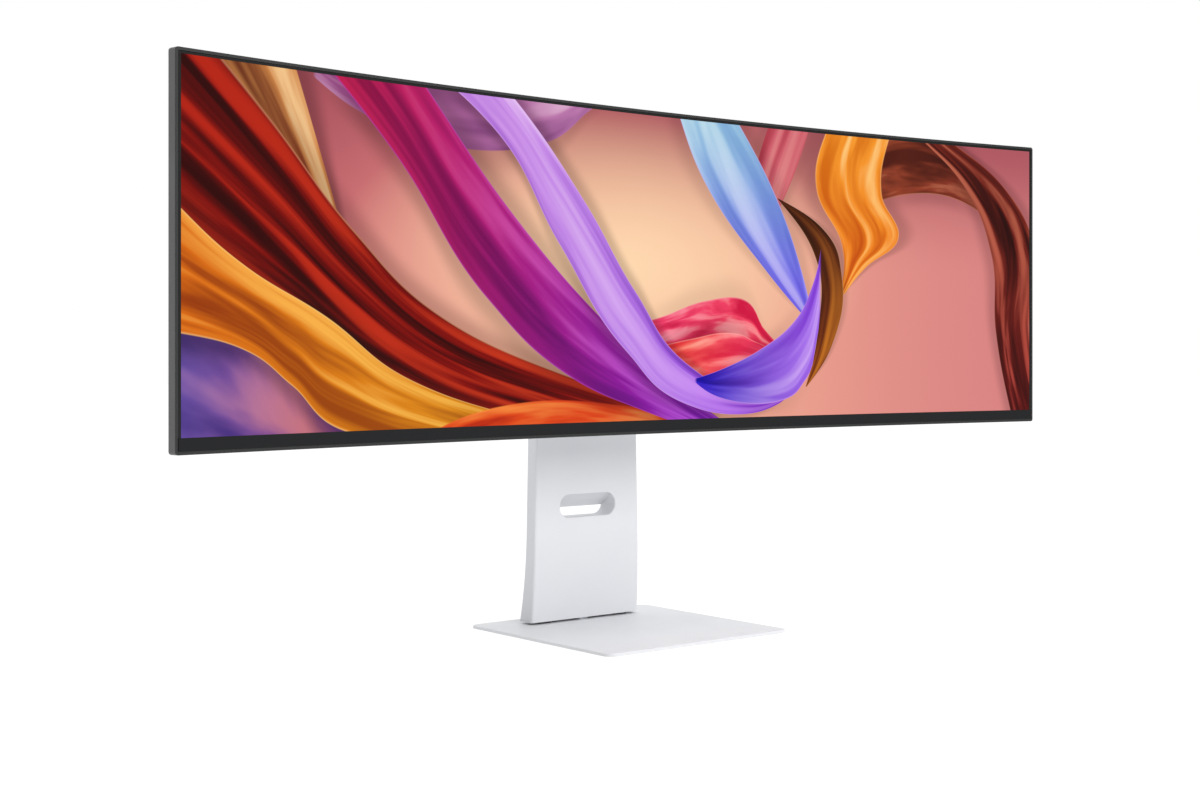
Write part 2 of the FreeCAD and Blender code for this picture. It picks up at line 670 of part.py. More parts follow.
def joystick_ring():
    z = STICK_PIVOT_Z
    ring = tube(RING_R[1], RING_R[0], V(0, STICK_Y, z - 1.6), Z_AXIS, 3.2)
    pins = [rod(PIVOT_R, V(0, STICK_Y + 4.8, z), Y_AXIS, 2.8),
            rod(PIVOT_R, V(0, STICK_Y - 7.6, z), Y_AXIS, 2.8)]
    bore = rod(PIVOT_R + RUNNING, V(-7, STICK_Y, z), X_AXIS, 14)
    return ring.cut(bore).fuse(pins)


def joystick_stem():
    z = STICK_PIVOT_Z
    hub = Part.makeSphere(2.6, V(0, STICK_Y, z))
    pin = rod(PIVOT_R, V(-5.2, STICK_Y, z), X_AXIS, 10.4)
    stem = rod(STEM_R, V(0, STICK_Y, STEM_END), Z_AXIS, z - STEM_END)
    return hub.fuse([pin, stem])


def joystick_knob():
    start = V(0, STICK_Y, KNOB_BOTTOM)
    cap = rod(KNOB_R, start, Z_AXIS, KNOB_H)
    cap = cap.makeFillet(1.2, [e for e in cap.Edges if e.BoundBox.ZMax < KNOB_BOTTOM + 0.01])
    bore = rod(STEM_R + RUNNING, V(0, STICK_Y, STEM_END - 1), Z_AXIS, 8)
    return cap.cut(bore)


def status_light():
    low = DISPLAY_BOTTOM + FRAME_FLANGE + COVER_GAP
    return rod(LIGHT_R, V(LIGHT_X, STICK_Y, low), Z_AXIS, 6)


# ---- quick release of the stand --------------------------------------------------------------
def release_button():
    """Button in the back, under the recess, with a stop flange behind the cover."""
    half_x, half_z = BUTTON_HALF
    cap = rounded_box((-half_x, half_x), (-4, BACK_Y + 1.6),
                      (BUTTON_Z - half_z, BUTTON_Z + half_z), 3, Y_AXIS)
    front = BACK_Y - COVER_WALL - 0.3
    flange = box((-half_x - 3, half_x + 3), (front - 1.5, front),
                 (BUTTON_Z - half_z - 1, BUTTON_Z + half_z + 1))
    finger = box((-3, 3), (-9, -4), (BUTTON_Z - 3, BUTTON_Z + 3))
    return cap.fuse([flange, finger])


def latch_hook():
    """Slider behind the mount frame whose nose holds the head plate's lower edge."""
    back = MOUNT_FACE_Y - MOUNT_FRAME_T
    slider = box((-9, 9), (back - 3.3, back - 0.3), (BUTTON_Z + 11.5, MOUNT_Z - 32))
    nose = box((-5.6, 5.6), (back - 3.3, MOUNT_FACE_Y + 2.2), (MOUNT_Z - 43, MOUNT_Z - 36.7))
    return slider.fuse(nose)


# ---- head plate and tilt joint ---------------------------------------------------------------
LUG_REACH = 11.0                   # radius of the round ends about the tilt axis
SHAFT_START = -39.0
SHAFT_LENGTH = 76.0
WASHER_R = 9.5


def lug(x, y_root, reach, hole_r):
    """Flat ear with a round end about the tilt axis."""
    ear = box(x, (y_root, TILT_Y), (MOUNT_Z - reach, MOUNT_Z + reach))
    ear = ear.fuse(rod(reach, V(x[0], TILT_Y, MOUNT_Z), X_AXIS, x[1] - x[0]))
    return ear.cut(rod(hole_r, V(x[0] - 1, TILT_Y, MOUNT_Z), X_AXIS, x[1] - x[0] + 2))


def head_plate():
    """Plate in the recess of the display: hooks above, latch notch below, and two lugs."""
    face = MOUNT_FACE_Y
    plate = rounded_box((-HEAD_HALF, HEAD_HALF), (face, face + HEAD_T),
                        (MOUNT_Z - HEAD_HALF, MOUNT_Z + HEAD_HALF), 5, Y_AXIS)
    notch = box((-6, 6), (face - 1, face + HEAD_T + 1), (MOUNT_Z - HEAD_HALF - 1, MOUNT_Z - 36))
    pieces = both_sides(lug(HEAD_LUG, face + HEAD_T, LUG_REACH, TILT_SHAFT_R))
    back = face - MOUNT_FRAME_T
    for x in (-HOOK_X, HOOK_X):
        pieces.append(box((x - 5, x + 5), (back - 2.2, face), (HOOK_Z, HOOK_Z + 4)))
        pieces.append(box((x - 5, x + 5), (back - 2.2, back - 0.2), (HOOK_Z, HOOK_Z + 13)))
    return plate.cut(notch).fuse(pieces)


def tilt_shaft():
    start = V(SHAFT_START, TILT_Y, MOUNT_Z)
    return rod(TILT_SHAFT_R, start, X_AXIS, SHAFT_LENGTH).fuse(rod(8, start, X_AXIS, 3.5))


def hexagon(x, radius, bore, thickness):
    """Nut on the tilt axis."""
    points = []
    for index in range(6):
        angle = math.radians(60 * index)
        points.append(V(x, TILT_Y + radius * math.cos(angle), MOUNT_Z + radius * math.sin(angle)))
    nut = prism(points, V(thickness, 0, 0))
    return nut.cut(rod(bore, V(x - 1, TILT_Y, MOUNT_Z), X_AXIS, thickness + 2))


def friction_washers():
    """Spring discs between the head's lugs and the bracket's lugs."""
    gap = HEAD_LUG[0] - BRACKET_LUG[1]
    thick = (gap - 0.4) / 2 - 0.1
    rings = []
    for index in range(2):
        x = BRACKET_LUG[1] + 0.25 + index * (thick + 0.1)
        rings += both_sides(tube(WASHER_R, TILT_SHAFT_R + RUNNING, V(x, TILT_Y, MOUNT_Z), X_AXIS, thick))
    return rings


def tilt_spring():
    """Sleeve the size of the torsion spring that carries the weight of the display."""
    half = BRACKET_LUG[0] - 1
    return tube(8.4, TILT_SHAFT_R + 0.6, V(-half, TILT_Y, MOUNT_Z), X_AXIS, 2 * half)


HINGE_COVER_HALF = (45.0, 25.0)
HINGE_COVER_Y = (2.3, 50.0)


def hinge_cover():
    """Plastic hood round the tilt joint, open to the rear."""
    half_x, half_z = HINGE_COVER_HALF
    wall = 1.8
    hood = rounded_box((-half_x, half_x), HINGE_COVER_Y, (MOUNT_Z - half_z, MOUNT_Z + half_z), 7, Y_AXIS)
    inner = rounded_box((-half_x + wall, half_x - wall), (HINGE_COVER_Y[0] - 1, HINGE_COVER_Y[1] + 1),
                        (MOUNT_Z - half_z + wall, MOUNT_Z + half_z - wall), 5.4, Y_AXIS)
    return hood.cut(inner)


# ---- carriage --------------------------------------------------------------------------------
CARRIAGE_HALF = 26.0
FLANGE_Y = 68.0                    # front face of the flange that is screwed to the carriage plate
FLANGE_REACH = 18.0
WEB_Y = 56.0


def tilt_bracket():
    """Arm that reaches out of the neck's front slot and ends in two lugs."""
    flange = box((-CARRIAGE_HALF, CARRIAGE_HALF), (FLANGE_Y, CARRIAGE_Y[0]),
                 (MOUNT_Z - FLANGE_REACH, MOUNT_Z + FLANGE_REACH))
    web = box((-BRACKET_LUG[1], BRACKET_LUG[1]), (WEB_Y, FLANGE_Y),
              (MOUNT_Z - LUG_REACH, MOUNT_Z + LUG_REACH))
    return flange.fuse([web] + both_sides(lug_towards_front()))


def lug_towards_front():
    ear = box(BRACKET_LUG, (TILT_Y, WEB_Y + 1), (MOUNT_Z - LUG_REACH, MOUNT_Z + LUG_REACH))
    width = BRACKET_LUG[1] - BRACKET_LUG[0]
    ear = ear.fuse(rod(LUG_REACH, V(BRACKET_LUG[0], TILT_Y, MOUNT_Z), X_AXIS, width))
    return ear.cut(rod(TILT_SHAFT_R + RUNNING, V(BRACKET_LUG[0] - 1, TILT_Y, MOUNT_Z), X_AXIS, 8))


def carriage_plate():
    return rounded_box((-CARRIAGE_HALF, CARRIAGE_HALF), CARRIAGE_Y, CARRIAGE_Z, 3, Y_AXIS)


BUSH_H = 18.0
BUSH_BACK = 92.0


def slide_bushes():
    """Four blocks that run on the guide rods, each with a wing screwed to the plate."""
    blocks = []
    for low in (CARRIAGE_Z[0], CARRIAGE_Z[1] - BUSH_H):
        z = (low, low + BUSH_H)
        block = box((CARRIAGE_HALF + 0.1, 42), (CARRIAGE_Y[0], BUSH_BACK), z)
        block = block.fuse(box((14, 27), (CARRIAGE_Y[1], BUSH_BACK), z))
        bore = rod(GUIDE_ROD_R + RUNNING, V(GUIDE_ROD_X, GUIDE_ROD_Y, low - 1), Z_AXIS, BUSH_H + 2)
        blocks += both_sides(block.cut(bore))
    return blocks


def carriage_screws():
    """Screws through the carriage plate into the bracket."""
    screws = []
    for x in (-9, 9):
        for z in (MOUNT_Z - 12, MOUNT_Z + 12):
            screws.append(rod(4, V(x, CARRIAGE_Y[1], z), Y_AXIS, 2.6))
    return screws


# ---- neck ------------------------------------------------------------------------------------
def neck_half(z):
    return NECK_HALF_AT_ZERO - NECK_TAPER * z


def flare_radius(offset):
    """Radius of the arc that leaves the vertical at the flare's top and gains the offset."""
    drop = NECK_FLARE_TOP - NECK_BOTTOM
    return (offset * offset + drop * drop) / (2 * offset)


def flared(y, offset, z):
    """Y of a face that is upright above the flare and bends backwards below it."""
    if z >= NECK_FLARE_TOP:
        return y
    radius = flare_radius(offset)
    return y + radius - math.sqrt(radius * radius - (NECK_FLARE_TOP - z) ** 2)


def neck_blade(front, back, side_inset, z, front_flare=NECK_FRONT_FLARE):
    """Tapered blade with an upright upper part and a foot that sweeps backwards."""
    middle = (z[0] + NECK_FLARE_TOP) / 2

    def at(y, offset, height):
        return V(-100, flared(y, offset, height), height)

    def front_at(height):
        return at(front, front_flare, height)

    def back_at(height):
        return at(back, NECK_BACK_FLARE, height)

    bend = NECK_FLARE_TOP
    edges = [
        Part.Arc(front_at(z[0]), front_at(middle), front_at(bend)).toShape(),
        Part.LineSegment(front_at(bend), front_at(z[1])).toShape(),
        Part.LineSegment(front_at(z[1]), back_at(z[1])).toShape(),
        Part.LineSegment(back_at(z[1]), back_at(bend)).toShape(),
        Part.Arc(back_at(bend), back_at(middle), back_at(z[0])).toShape(),
        Part.LineSegment(back_at(z[0]), front_at(z[0])).toShape(),
    ]
    profile = Part.Face(Part.Wire(edges)).extrude(V(200, 0, 0))
    low = neck_half(z[0]) - side_inset
    high = neck_half(z[1]) - side_inset
    outline = prism([V(-low, 0, z[0]), V(low, 0, z[0]), V(high, 0, z[1]), V(-high, 0, z[1])], V(0, 150, 0))
    return profile.common(outline)


def spine(inset, z):
    """Raised middle of the neck's back."""
    blade = neck_blade(NECK_BACK - 6, NECK_BACK + SPINE_DEPTH - inset, 0, z)
    wide = SPINE_HALF[0] - inset
    narrow = SPINE_HALF[1] - inset
    back = NECK_BACK + SPINE_DEPTH + NECK_BACK_FLARE + 5
    ridge = NECK_BACK + SPINE_DEPTH
    wedge = prism([V(-wide - 8, NECK_BACK - 8, z[0]), V(wide + 8, NECK_BACK - 8, z[0]),
                   V(wide, NECK_BACK, z[0]), V(narrow, ridge, z[0]), V(narrow, back, z[0]),
                   V(-narrow, back, z[0]), V(-narrow, ridge, z[0]), V(-wide, NECK_BACK, z[0])],
                  V(0, 0, z[1] - z[0]))
    return blade.common(wedge)


def stadium(x, z, inset, y):
    """Prism along Y with round ends left and right."""
    low = z[0] - inset
    high = z[1] + inset
    radius = (high - low) / 2 - 0.01
    return rounded_box((x[0] - inset, x[1] + inset), y, (low, high), radius, Y_AXIS)


def cable_passage(inset):
    """Space for the cables: level floor, and a ceiling that slopes down to the rear."""
    back = NECK_BACK + SPINE_DEPTH + 2
    passage = stadium((-SLOT_HALF, SLOT_HALF), SLOT_Z, inset, (NECK_FRONT - 2, back + 10))
    slope_front = NECK_FRONT + 3
    top = SLOT_Z[1] + inset
    low = SLOT_BACK_TOP + inset
    fall = (top - low) / (back - slope_front)
    end = back + 12
    ceiling = prism([V(-60, slope_front, top), V(-60, slope_front, top + 5), V(-60, end, top + 5),
                     V(-60, end, top - fall * (end - slope_front))], V(120, 0, 0))
    return passage.cut(ceiling)


def neck_front_cover():
    """U-shaped cover: the front face and both edges of the neck."""
    z = (NECK_BOTTOM, NECK_TOP)
    blade = neck_blade(NECK_FRONT, NECK_BACK, 0, z)
    upright = [e for e in blade.Edges if e.BoundBox.ZLength > 50 and e.BoundBox.YMin < NECK_FRONT + 5]
    blade = blade.makeFillet(2.6, upright)
    inside = NECK_FRONT + NECK_WALL
    hollow = neck_blade(inside, NECK_BACK + 30, NECK_WALL, (NECK_BOTTOM, NECK_TOP - NECK_WALL))
    below = neck_blade(inside, NECK_BACK + 30, NECK_WALL, (NECK_BOTTOM - 3, NECK_BOTTOM + 5))
    shell = blade.cut([hollow, below])
    mouth = stadium((-SLOT_HALF, SLOT_HALF), SLOT_Z, 0, (NECK_FRONT - 5, NECK_FRONT + NECK_WALL + 3))
    shell = shell.cut(mouth)
    ring = [e for e in shell.Edges if e.BoundBox.YMax < NECK_FRONT + 0.01 and e.BoundBox.ZMax < SLOT_Z[1] + 1
            and e.BoundBox.ZMin > SLOT_Z[0] - 1]
    shell = shell.makeFillet(1.6, ring)
    arm_slot = rounded_box((-30, 30), (NECK_FRONT - 2, NECK_FRONT + 4),
                           (MOUNT_Z - FLANGE_REACH - LIFT_TRAVEL - 4, MOUNT_Z + 22), 3, Y_AXIS)
    return shell.cut(arm_slot)


def neck_rear_cover():
    """Back of the neck, set between the edges of the front cover."""
    z = (NECK_BOTTOM, NECK_TOP)
    gap = NECK_WALL + 0.2
    plate = neck_blade(NECK_BACK - NECK_WALL, NECK_BACK - 0.2, gap, (z[0], z[1] - NECK_WALL - 0.2),
                       NECK_BACK_FLARE)
    raised = spine(0, (z[0], z[1] - NECK_WALL - 0.2))
    inner = spine(NECK_WALL, (z[0] - 1, z[1] - 2 * NECK_WALL))
    front = neck_blade(NECK_FRONT - 10, NECK_BACK - NECK_WALL, 0, (z[0] - 1, z[1]))
    shell = plate.fuse(raised.cut(front)).cut(inner)
    shell = shell.cut(cable_passage(SLOT_WALL + 0.1))
    pockets = [head.fuse(shank) for head, shank in rear_screws(0.2)]
    return shell.cut(pockets)


NECK_SCREW_X = 36.0
NECK_SCREW_Z = (60.0, 210.0, 440.0)


def rear_screws(slack):
    """Head and shank of each screw in the neck's back, larger by the slack."""
    pairs = []
    for x in (-NECK_SCREW_X, NECK_SCREW_X):
        for z in NECK_SCREW_Z:
            back = flared(NECK_BACK + SPINE_DEPTH, NECK_BACK_FLARE, z)
            head = rod(3.4 + slack, V(x, back - 1.5 - slack, z), Y_AXIS, 1.2 + 10 * slack)
            shank = rod(1.5 + slack, V(x, COLUMN_Y[1], z), Y_AXIS, back - 1.4 - COLUMN_Y[1])
            pairs.append((head, shank))
    return pairs


def neck_screws():
    screws = []
    for head, shank in rear_screws(0):
        centre = head.BoundBox.Center
        recess = (head.BoundBox.YMax - 0.5, head.BoundBox.YMax + 1)
        screws.append(head.cut(cross_recess(centre.x, recess, centre.z)).fuse(shank))
    return screws


def cable_slot_liner():
    """Sleeve between the front and rear openings of the cable slot."""
    outer = cable_passage(SLOT_WALL)
    inner = cable_passage(0)
    front = NECK_FRONT + NECK_WALL + 0.1
    back = NECK_BACK + SPINE_DEPTH - 0.1
    return outer.cut(inner).common(box((-60, 60), (front, back), (100, 170)))


def neck_column():
    """Steel channel that carries the display's weight, open to the front."""
    z = (FOOT_TOP, COLUMN_TOP)
    channel = box((-COLUMN_HALF, COLUMN_HALF), COLUMN_Y, z)
    inner = COLUMN_HALF - COLUMN_T
    channel = channel.cut(box((-inner, inner), (COLUMN_Y[0] - 1, COLUMN_Y[1] - COLUMN_T),
                              (z[0] - 1, z[1] + 1)))
    arbor = rod(ARBOR_R, V(-60, SPRING_Y, SPRING_Z), X_AXIS, 120)
    nut_room = box((-14, 14), (SWIVEL_Y, COLUMN_Y[1] + 1), (FOOT_TOP - 1, FOOT_TOP + 14))
    channel = channel.cut([cable_passage(SLOT_WALL + 0.3), arbor, nut_room])
    ends = []
    for height in ROD_HOLDER_Z:
        ends += both_sides(box((28, inner + 0.5), (78, COLUMN_Y[1] - COLUMN_T + 0.5), height))
    return channel.fuse(ends)


def neck_foot():
    """Casting at the bottom of the neck, which turns on the base's post, and its two glide pads."""
    low = NECK_BOTTOM - 0.2
    front = 79.4
    wide = box((-68, 68), (front, 90.6), (low, FOOT_TOP))
    thick = box((-44, 44), (front, 99.5), (low, FOOT_TOP))
    bore = rod(POST_R + RUNNING, V(0, SWIVEL_Y, 0), Z_AXIS, 60)
    pads = both_sides(rounded_box((46, 66), (80.5, 96), (BASE_TOP + 0.1, low), 3, Z_AXIS))
    return wide.fuse(thick).cut(bore), pads


def guide_rods():
    """Rods between the two pairs of ledges welded inside the channel."""
    low = ROD_HOLDER_Z[0][1]
    return both_sides(rod(GUIDE_ROD_R, V(GUIDE_ROD_X, GUIDE_ROD_Y, low), Z_AXIS, ROD_HOLDER_Z[1][0] - low))


def stop_buffers():
    """Rubber rings on the rods below the lowest position of the carriage."""
    top = CARRIAGE_Z[0] - LIFT_TRAVEL - 0.4
    return both_sides(tube(7, GUIDE_ROD_R + 0.02, V(GUIDE_ROD_X, GUIDE_ROD_Y, top - 8), Z_AXIS, 8))


def lift_springs():
    """Rolled strip springs above the carriage."""
    return both_sides(tube(SPRING_R, ARBOR_R + 0.1, V(4, SPRING_Y, SPRING_Z), X_AXIS, 16))


def spring_strips():
    """Free ends of the strip springs, fixed to the carriage plate."""
    back = SPRING_Y - SPRING_R
    return both_sides(box((5, 19), (back - 0.4, back), (432, SPRING_Z)))


def spring_arbor():
    return rod(ARBOR_R, V(-COLUMN_HALF, SPRING_Y, SPRING_Z), X_AXIS, 2 * COLUMN_HALF)


# ---- base ------------------------------------------------------------------------------------
SCREW_HEAD_R = 8.0
SCREW_R = 4.0
BASE_FOOT_X = 108.0
BASE_FOOT_Y = 104.0
BASE_FOOT_R = 9.0
PIN_X = 8.6                        # two pins keep the post from turning on the plate
POST_TOP = 47.0


def base_plate():
    plate = rounded_box((-BASE_W / 2, BASE_W / 2), (-BASE_D / 2, BASE_D / 2), (FOOT_T, BASE_TOP),
                        BASE_ROUND, Z_AXIS)
    top_rim = [e for e in plate.Edges if e.BoundBox.ZMin > BASE_TOP - 0.01]
    plate = plate.makeFillet(0.9, top_rim)
    sink = Part.makeCone(SCREW_HEAD_R + 0.2, SCREW_R + 0.2, BASE_T, V(0, SWIVEL_Y, FOOT_T), Z_AXIS)
    pins = [rod(1.25, V(x, SWIVEL_Y, FOOT_T - 1), Z_AXIS, 6) for x in (-PIN_X, PIN_X)]
    return plate.cut([sink] + pins)


def base_feet():
    feet = []
    for x in (-BASE_FOOT_X, BASE_FOOT_X):
        for y in (-BASE_FOOT_Y, 0, BASE_FOOT_Y):
            feet.append(rod(BASE_FOOT_R, V(x, y, 0), Z_AXIS, FOOT_T))
    feet.append(rod(BASE_FOOT_R, V(0, -BASE_FOOT_Y, 0), Z_AXIS, FOOT_T))
    return feet


def base_screw():
    """Countersunk screw from below that clamps the post to the plate."""
    head = Part.makeCone(SCREW_HEAD_R, SCREW_R, BASE_T, V(0, SWIVEL_Y, FOOT_T), Z_AXIS)
    key = box((-3, 3), (SWIVEL_Y - 0.8, SWIVEL_Y + 0.8), (FOOT_T - 1, FOOT_T + 1.6))
    return head.cut(key).fuse(rod(SCREW_R, V(0, SWIVEL_Y, BASE_TOP), Z_AXIS, 18))


def pivot_post():
    flange = rod(10.4, V(0, SWIVEL_Y, BASE_TOP), Z_AXIS, 2)
    post = rod(POST_R, V(0, SWIVEL_Y, BASE_TOP), Z_AXIS, POST_TOP - BASE_TOP)
    thread = rod(SCREW_R, V(0, SWIVEL_Y, BASE_TOP - 1), Z_AXIS, 20)
    pins = [rod(1.2, V(x, SWIVEL_Y, BASE_TOP - 2.4), Z_AXIS, 2.6) for x in (-PIN_X, PIN_X)]
    return flange.fuse([post] + pins).cut(thread)


def pivot_nut():
    """Nut and disc spring that hold the neck down on the post."""
    points = []
    for index in range(6):
        angle = math.radians(60 * index + 30)
        points.append(V(10 * math.cos(angle), SWIVEL_Y + 10 * math.sin(angle), FOOT_TOP + 2.5))
    nut = prism(points, V(0, 0, 5))
    disc = rod(9.6, V(0, SWIVEL_Y, FOOT_TOP + 0.3), Z_AXIS, 2.2)
    return nut.fuse(disc).cut(rod(POST_R, V(0, SWIVEL_Y, FOOT_TOP - 1), Z_AXIS, 12))


# ---- all sub-parts ---------------------------------------------------------------------------
def build():
    os.makedirs("parts", exist_ok=True)
    foot, pads = neck_foot()
    pieces = {
        "base_plate": base_plate(),
        "base_feet": base_feet(),
        "base_screw": base_screw(),
        "pivot_post": pivot_post(),
        "pivot_nut": pivot_nut(),
        "neck_foot": foot,
        "glide_pads": pads,
        "neck_column": neck_column(),
        "neck_front_cover": neck_front_cover(),
        "neck_rear_cover": neck_rear_cover(),
        "neck_screws": neck_screws(),
        "cable_slot_liner": cable_slot_liner(),
        "guide_rods": guide_rods(),
        "stop_buffers": stop_buffers(),
        "lift_springs": lift_springs(),
        "spring_strips": spring_strips(),
        "spring_arbor": spring_arbor(),
        "carriage_plate": carriage_plate(),
        "slide_bushes": slide_bushes(),
        "carriage_screws": carriage_screws(),
        "tilt_bracket": tilt_bracket(),
        "tilt_spring": tilt_spring(),
        "tilt_shaft": tilt_shaft(),
        "tilt_nut": hexagon(HEAD_LUG[1] + 0.05, 8.5, TILT_SHAFT_R, 5),
        "friction_washers": friction_washers(),
        "head_plate": head_plate(),
        "hinge_cover": hinge_cover(),
        "release_button": release_button(),
        "latch_hook": latch_hook(),
        "mount_frame": mount_frame(),
        "middle_frame": middle_frame(),
        "front_frame": front_frame(),
        "chin_bezel": chin_bezel(),
        "lcd_panel": lcd_panel(),
        "optical_sheets": [optical_layer(SHEETS, 1.0), optical_layer(REFLECTOR, 1.0)],
        "light_guide_plate": optical_layer(GUIDE, 1.4),
        "led_bar": led_bar(),
        "panel_chassis": panel_chassis(),
        "rear_cover": rear_cover(),
        "cover_screws": cover_screws(),
        "socket_tray": socket_tray(),
        "inlet_tray": inlet_tray(),
        "hdmi_sockets": socket_row("hdmi_sockets", 5.6, 0.2, 1.0),
        "display_port_socket": socket_row("display_port_socket", 6.4, 0.4, 1.1),
        "usb_c_socket": socket_row("usb_c_socket", 3.3, -0.35, 0.7),
        "usb_a_sockets": socket_row("usb_a_sockets", 5.4, 0.5, 1.7),
        "headphone_socket": headphone_socket(),
        "mains_inlet": mains_inlet(),
        "inlet_blades": inlet_blades(),
        "lock_plate": lock_plate(),
        "main_board": main_board(),
        "power_board": power_board(),
        "board_posts": board_posts(),
        "heat_sink": heat_sink(),
        "speakers": speakers(),
        "joystick_base": joystick_base(),
        "joystick_ring": joystick_ring(),
        "joystick_stem": joystick_stem(),
        "joystick_knob": joystick_knob(),
        "status_light": status_light(),
    }
    return pieces


for piece_name, piece in build().items():
    save(piece_name, piece)
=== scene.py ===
# %% [markdown]
# # A curved ultrawide monitor on a plate stand
#
# This lesson dresses a finished CAD model of a desktop monitor. The CAD nodes give every place and
# size, so nothing here is moved. We add materials, light and a camera, and the finer pieces that the
# CAD model leaves plain: the lit screen, the springs and the contacts in the sockets.

# %% Load the frame
import math
import bmesh
import bpy
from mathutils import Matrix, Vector


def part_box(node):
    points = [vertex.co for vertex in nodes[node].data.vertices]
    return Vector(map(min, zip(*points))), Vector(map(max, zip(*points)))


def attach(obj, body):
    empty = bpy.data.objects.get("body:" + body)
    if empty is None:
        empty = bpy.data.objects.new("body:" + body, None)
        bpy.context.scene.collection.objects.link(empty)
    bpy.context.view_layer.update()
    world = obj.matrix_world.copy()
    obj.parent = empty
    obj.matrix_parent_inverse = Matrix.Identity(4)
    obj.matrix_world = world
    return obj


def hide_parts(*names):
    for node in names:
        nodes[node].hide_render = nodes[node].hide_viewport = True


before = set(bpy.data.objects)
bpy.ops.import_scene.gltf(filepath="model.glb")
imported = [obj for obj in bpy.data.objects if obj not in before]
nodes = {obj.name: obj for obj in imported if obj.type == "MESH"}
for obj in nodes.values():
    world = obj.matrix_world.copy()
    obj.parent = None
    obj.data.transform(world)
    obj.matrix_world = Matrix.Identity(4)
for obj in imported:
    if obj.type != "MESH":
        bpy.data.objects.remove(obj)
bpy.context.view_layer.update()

# %% [markdown]
# Millimetres are easier to read on a drawing than metres, so `MM` turns one into the other. The
# screen's curve is a part of a cylinder whose axis stands in front of the monitor. The panel's box
# gives its height, and its middle lies furthest back, so the curve's axis follows from the radius.

# %% Sizes that the rest is worked out from
MM = 0.001
SCREEN_R = 3800 * MM
PANEL_T = 1.6 * MM
panel_low, panel_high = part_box("lcd_panel")
CURVE_Y = panel_high.y - PANEL_T - SCREEN_R
PICTURE_W = 1198.08 * MM
PICTURE_H = 336.96 * MM
PICTURE_TOP = panel_high.z - 2.59 * MM
PICTURE_BOTTOM = PICTURE_TOP - PICTURE_H
print("picture from", round(PICTURE_BOTTOM, 4), "to", round(PICTURE_TOP, 4), "m above the table")

# %% [markdown]
# Colours are picked as sRGB hex values, as on any screen, but shaders add and multiply light, which
# needs linear numbers. One function does that. A second one adds a shader node, sets its properties
# and fills or links its sockets, so that each material below reads as a short list of nodes. A third
# makes the material round them.

# %% Colour and node helpers
def linear(code):
    """Linear RGBA of an sRGB hex colour."""
    channels = []
    for index in (1, 3, 5):
        value = int(code[index:index + 2], 16) / 255
        channels.append(value / 12.92 if value <= 0.04045 else ((value + 0.055) / 1.055) ** 2.4)
    return (*channels, 1.0)


def live(sockets, name=None):
    """The first socket in use that has this name, or the first one in use."""
    return next(socket for socket in sockets if socket.enabled and name in (None, socket.name))


def add(tree, kind, sockets=None, stops=(), points=(), **settings):
    """Adds a shader node. A socket takes a number, a colour, a node or one of its outputs; a ramp
    takes evenly spaced colour stops and a curve takes points."""
    made = tree.nodes.new("ShaderNode" + kind)
    for name, value in settings.items():
        setattr(made, name, value)
    for index, code in enumerate(stops):
        spots = made.color_ramp.elements
        spot = spots[index] if index < 2 else spots.new(1.0)
        spot.color = linear(code)
    for index in range(len(stops)):
        made.color_ramp.elements[index].position = index / (len(stops) - 1)
    for index, place in enumerate(points):
        spots = made.mapping.curves[0].points
        spot = spots[index] if index < 2 else spots.new(*place)
        spot.location = place
    if points:
        made.mapping.use_clip = False
        made.mapping.update()
    for name, value in (sockets or {}).items():
        socket = made.inputs[name] if isinstance(name, int) else live(made.inputs, name)
        if isinstance(value, bpy.types.Node):
            value = live(value.outputs)
        if isinstance(value, bpy.types.NodeSocket):
            tree.links.new(value, socket)
        else:
            socket.default_value = value
    return made


def finish(name, shader):
    """A material whose surface is the node that `shader` adds to its empty tree."""
    material = bpy.data.materials.new(name)
    material.use_nodes = True
    tree = material.node_tree
    tree.nodes.clear()
    output = tree.nodes.new("ShaderNodeOutputMaterial")
    tree.links.new(live(shader(tree).outputs), output.inputs["Surface"])
    return material


print("mid grey #808080 is", round(linear("#808080")[0], 3), "in linear light")

# %% [markdown]
# ## Moulded plastic and painted metal
#
# Most of what shows is moulded ABS or powder-coated steel. Both are a smooth body under a fine
# grain: the mould is etched with sparks, and the powder melts into a soft orange peel. A noise
# texture at the real grain size drives the bump, a second, larger one breaks up the gloss a little,
# because hands and cloths polish some patches, and the colour drifts by a hair with it.

# %% One recipe for a grained surface
def grained(base, tone, grain_mm, roughness, bump=0.1, drift_mm=60, **shader):
    """Surface with a fine grain: two close colours, uneven gloss and a bump at the grain's size."""
    def make(tree):
        place = add(tree, "TexCoord").outputs["Object"]
        patches = add(tree, "TexNoise", {"Vector": place, "Scale": 1 / (drift_mm * MM), "Detail": 3.0})
        grain = add(tree, "TexNoise", {"Vector": place, "Scale": 1 / (grain_mm * MM), "Detail": 2.0})
        colour = add(tree, "Mix", {"Factor": patches, "A": linear(base), "B": linear(tone)},
                     data_type="RGBA")
        gloss = add(tree, "MapRange", {"Value": patches, "From Min": 0.3, "From Max": 0.7,
                                       "To Min": roughness - 0.04, "To Max": roughness + 0.04})
        relief = add(tree, "Bump", {"Height": grain, "Strength": bump, "Distance": 0.2 * grain_mm * MM})
        sockets = {"Base Color": colour, "Roughness": gloss, "Normal": relief}
        sockets.update({name.replace("_", " "): value for name, value in shader.items()})
        return add(tree, "BsdfPrincipled", sockets)
    return make


# ABS etched with a 0.4 mm spark grain, drawn at 0.8 mm so that it shows at all
white_abs = finish("white_moulded_abs", grained("#dfe0e3", "#dadbdf", 0.8, 0.42, bump=0.12, IOR=1.54))
# Epoxy powder coat, with a soft orange peel about 1.2 mm across
powder_coat = finish("white_powder_coat", grained("#dfe0e3", "#dadbde", 1.2, 0.48, IOR=1.5))
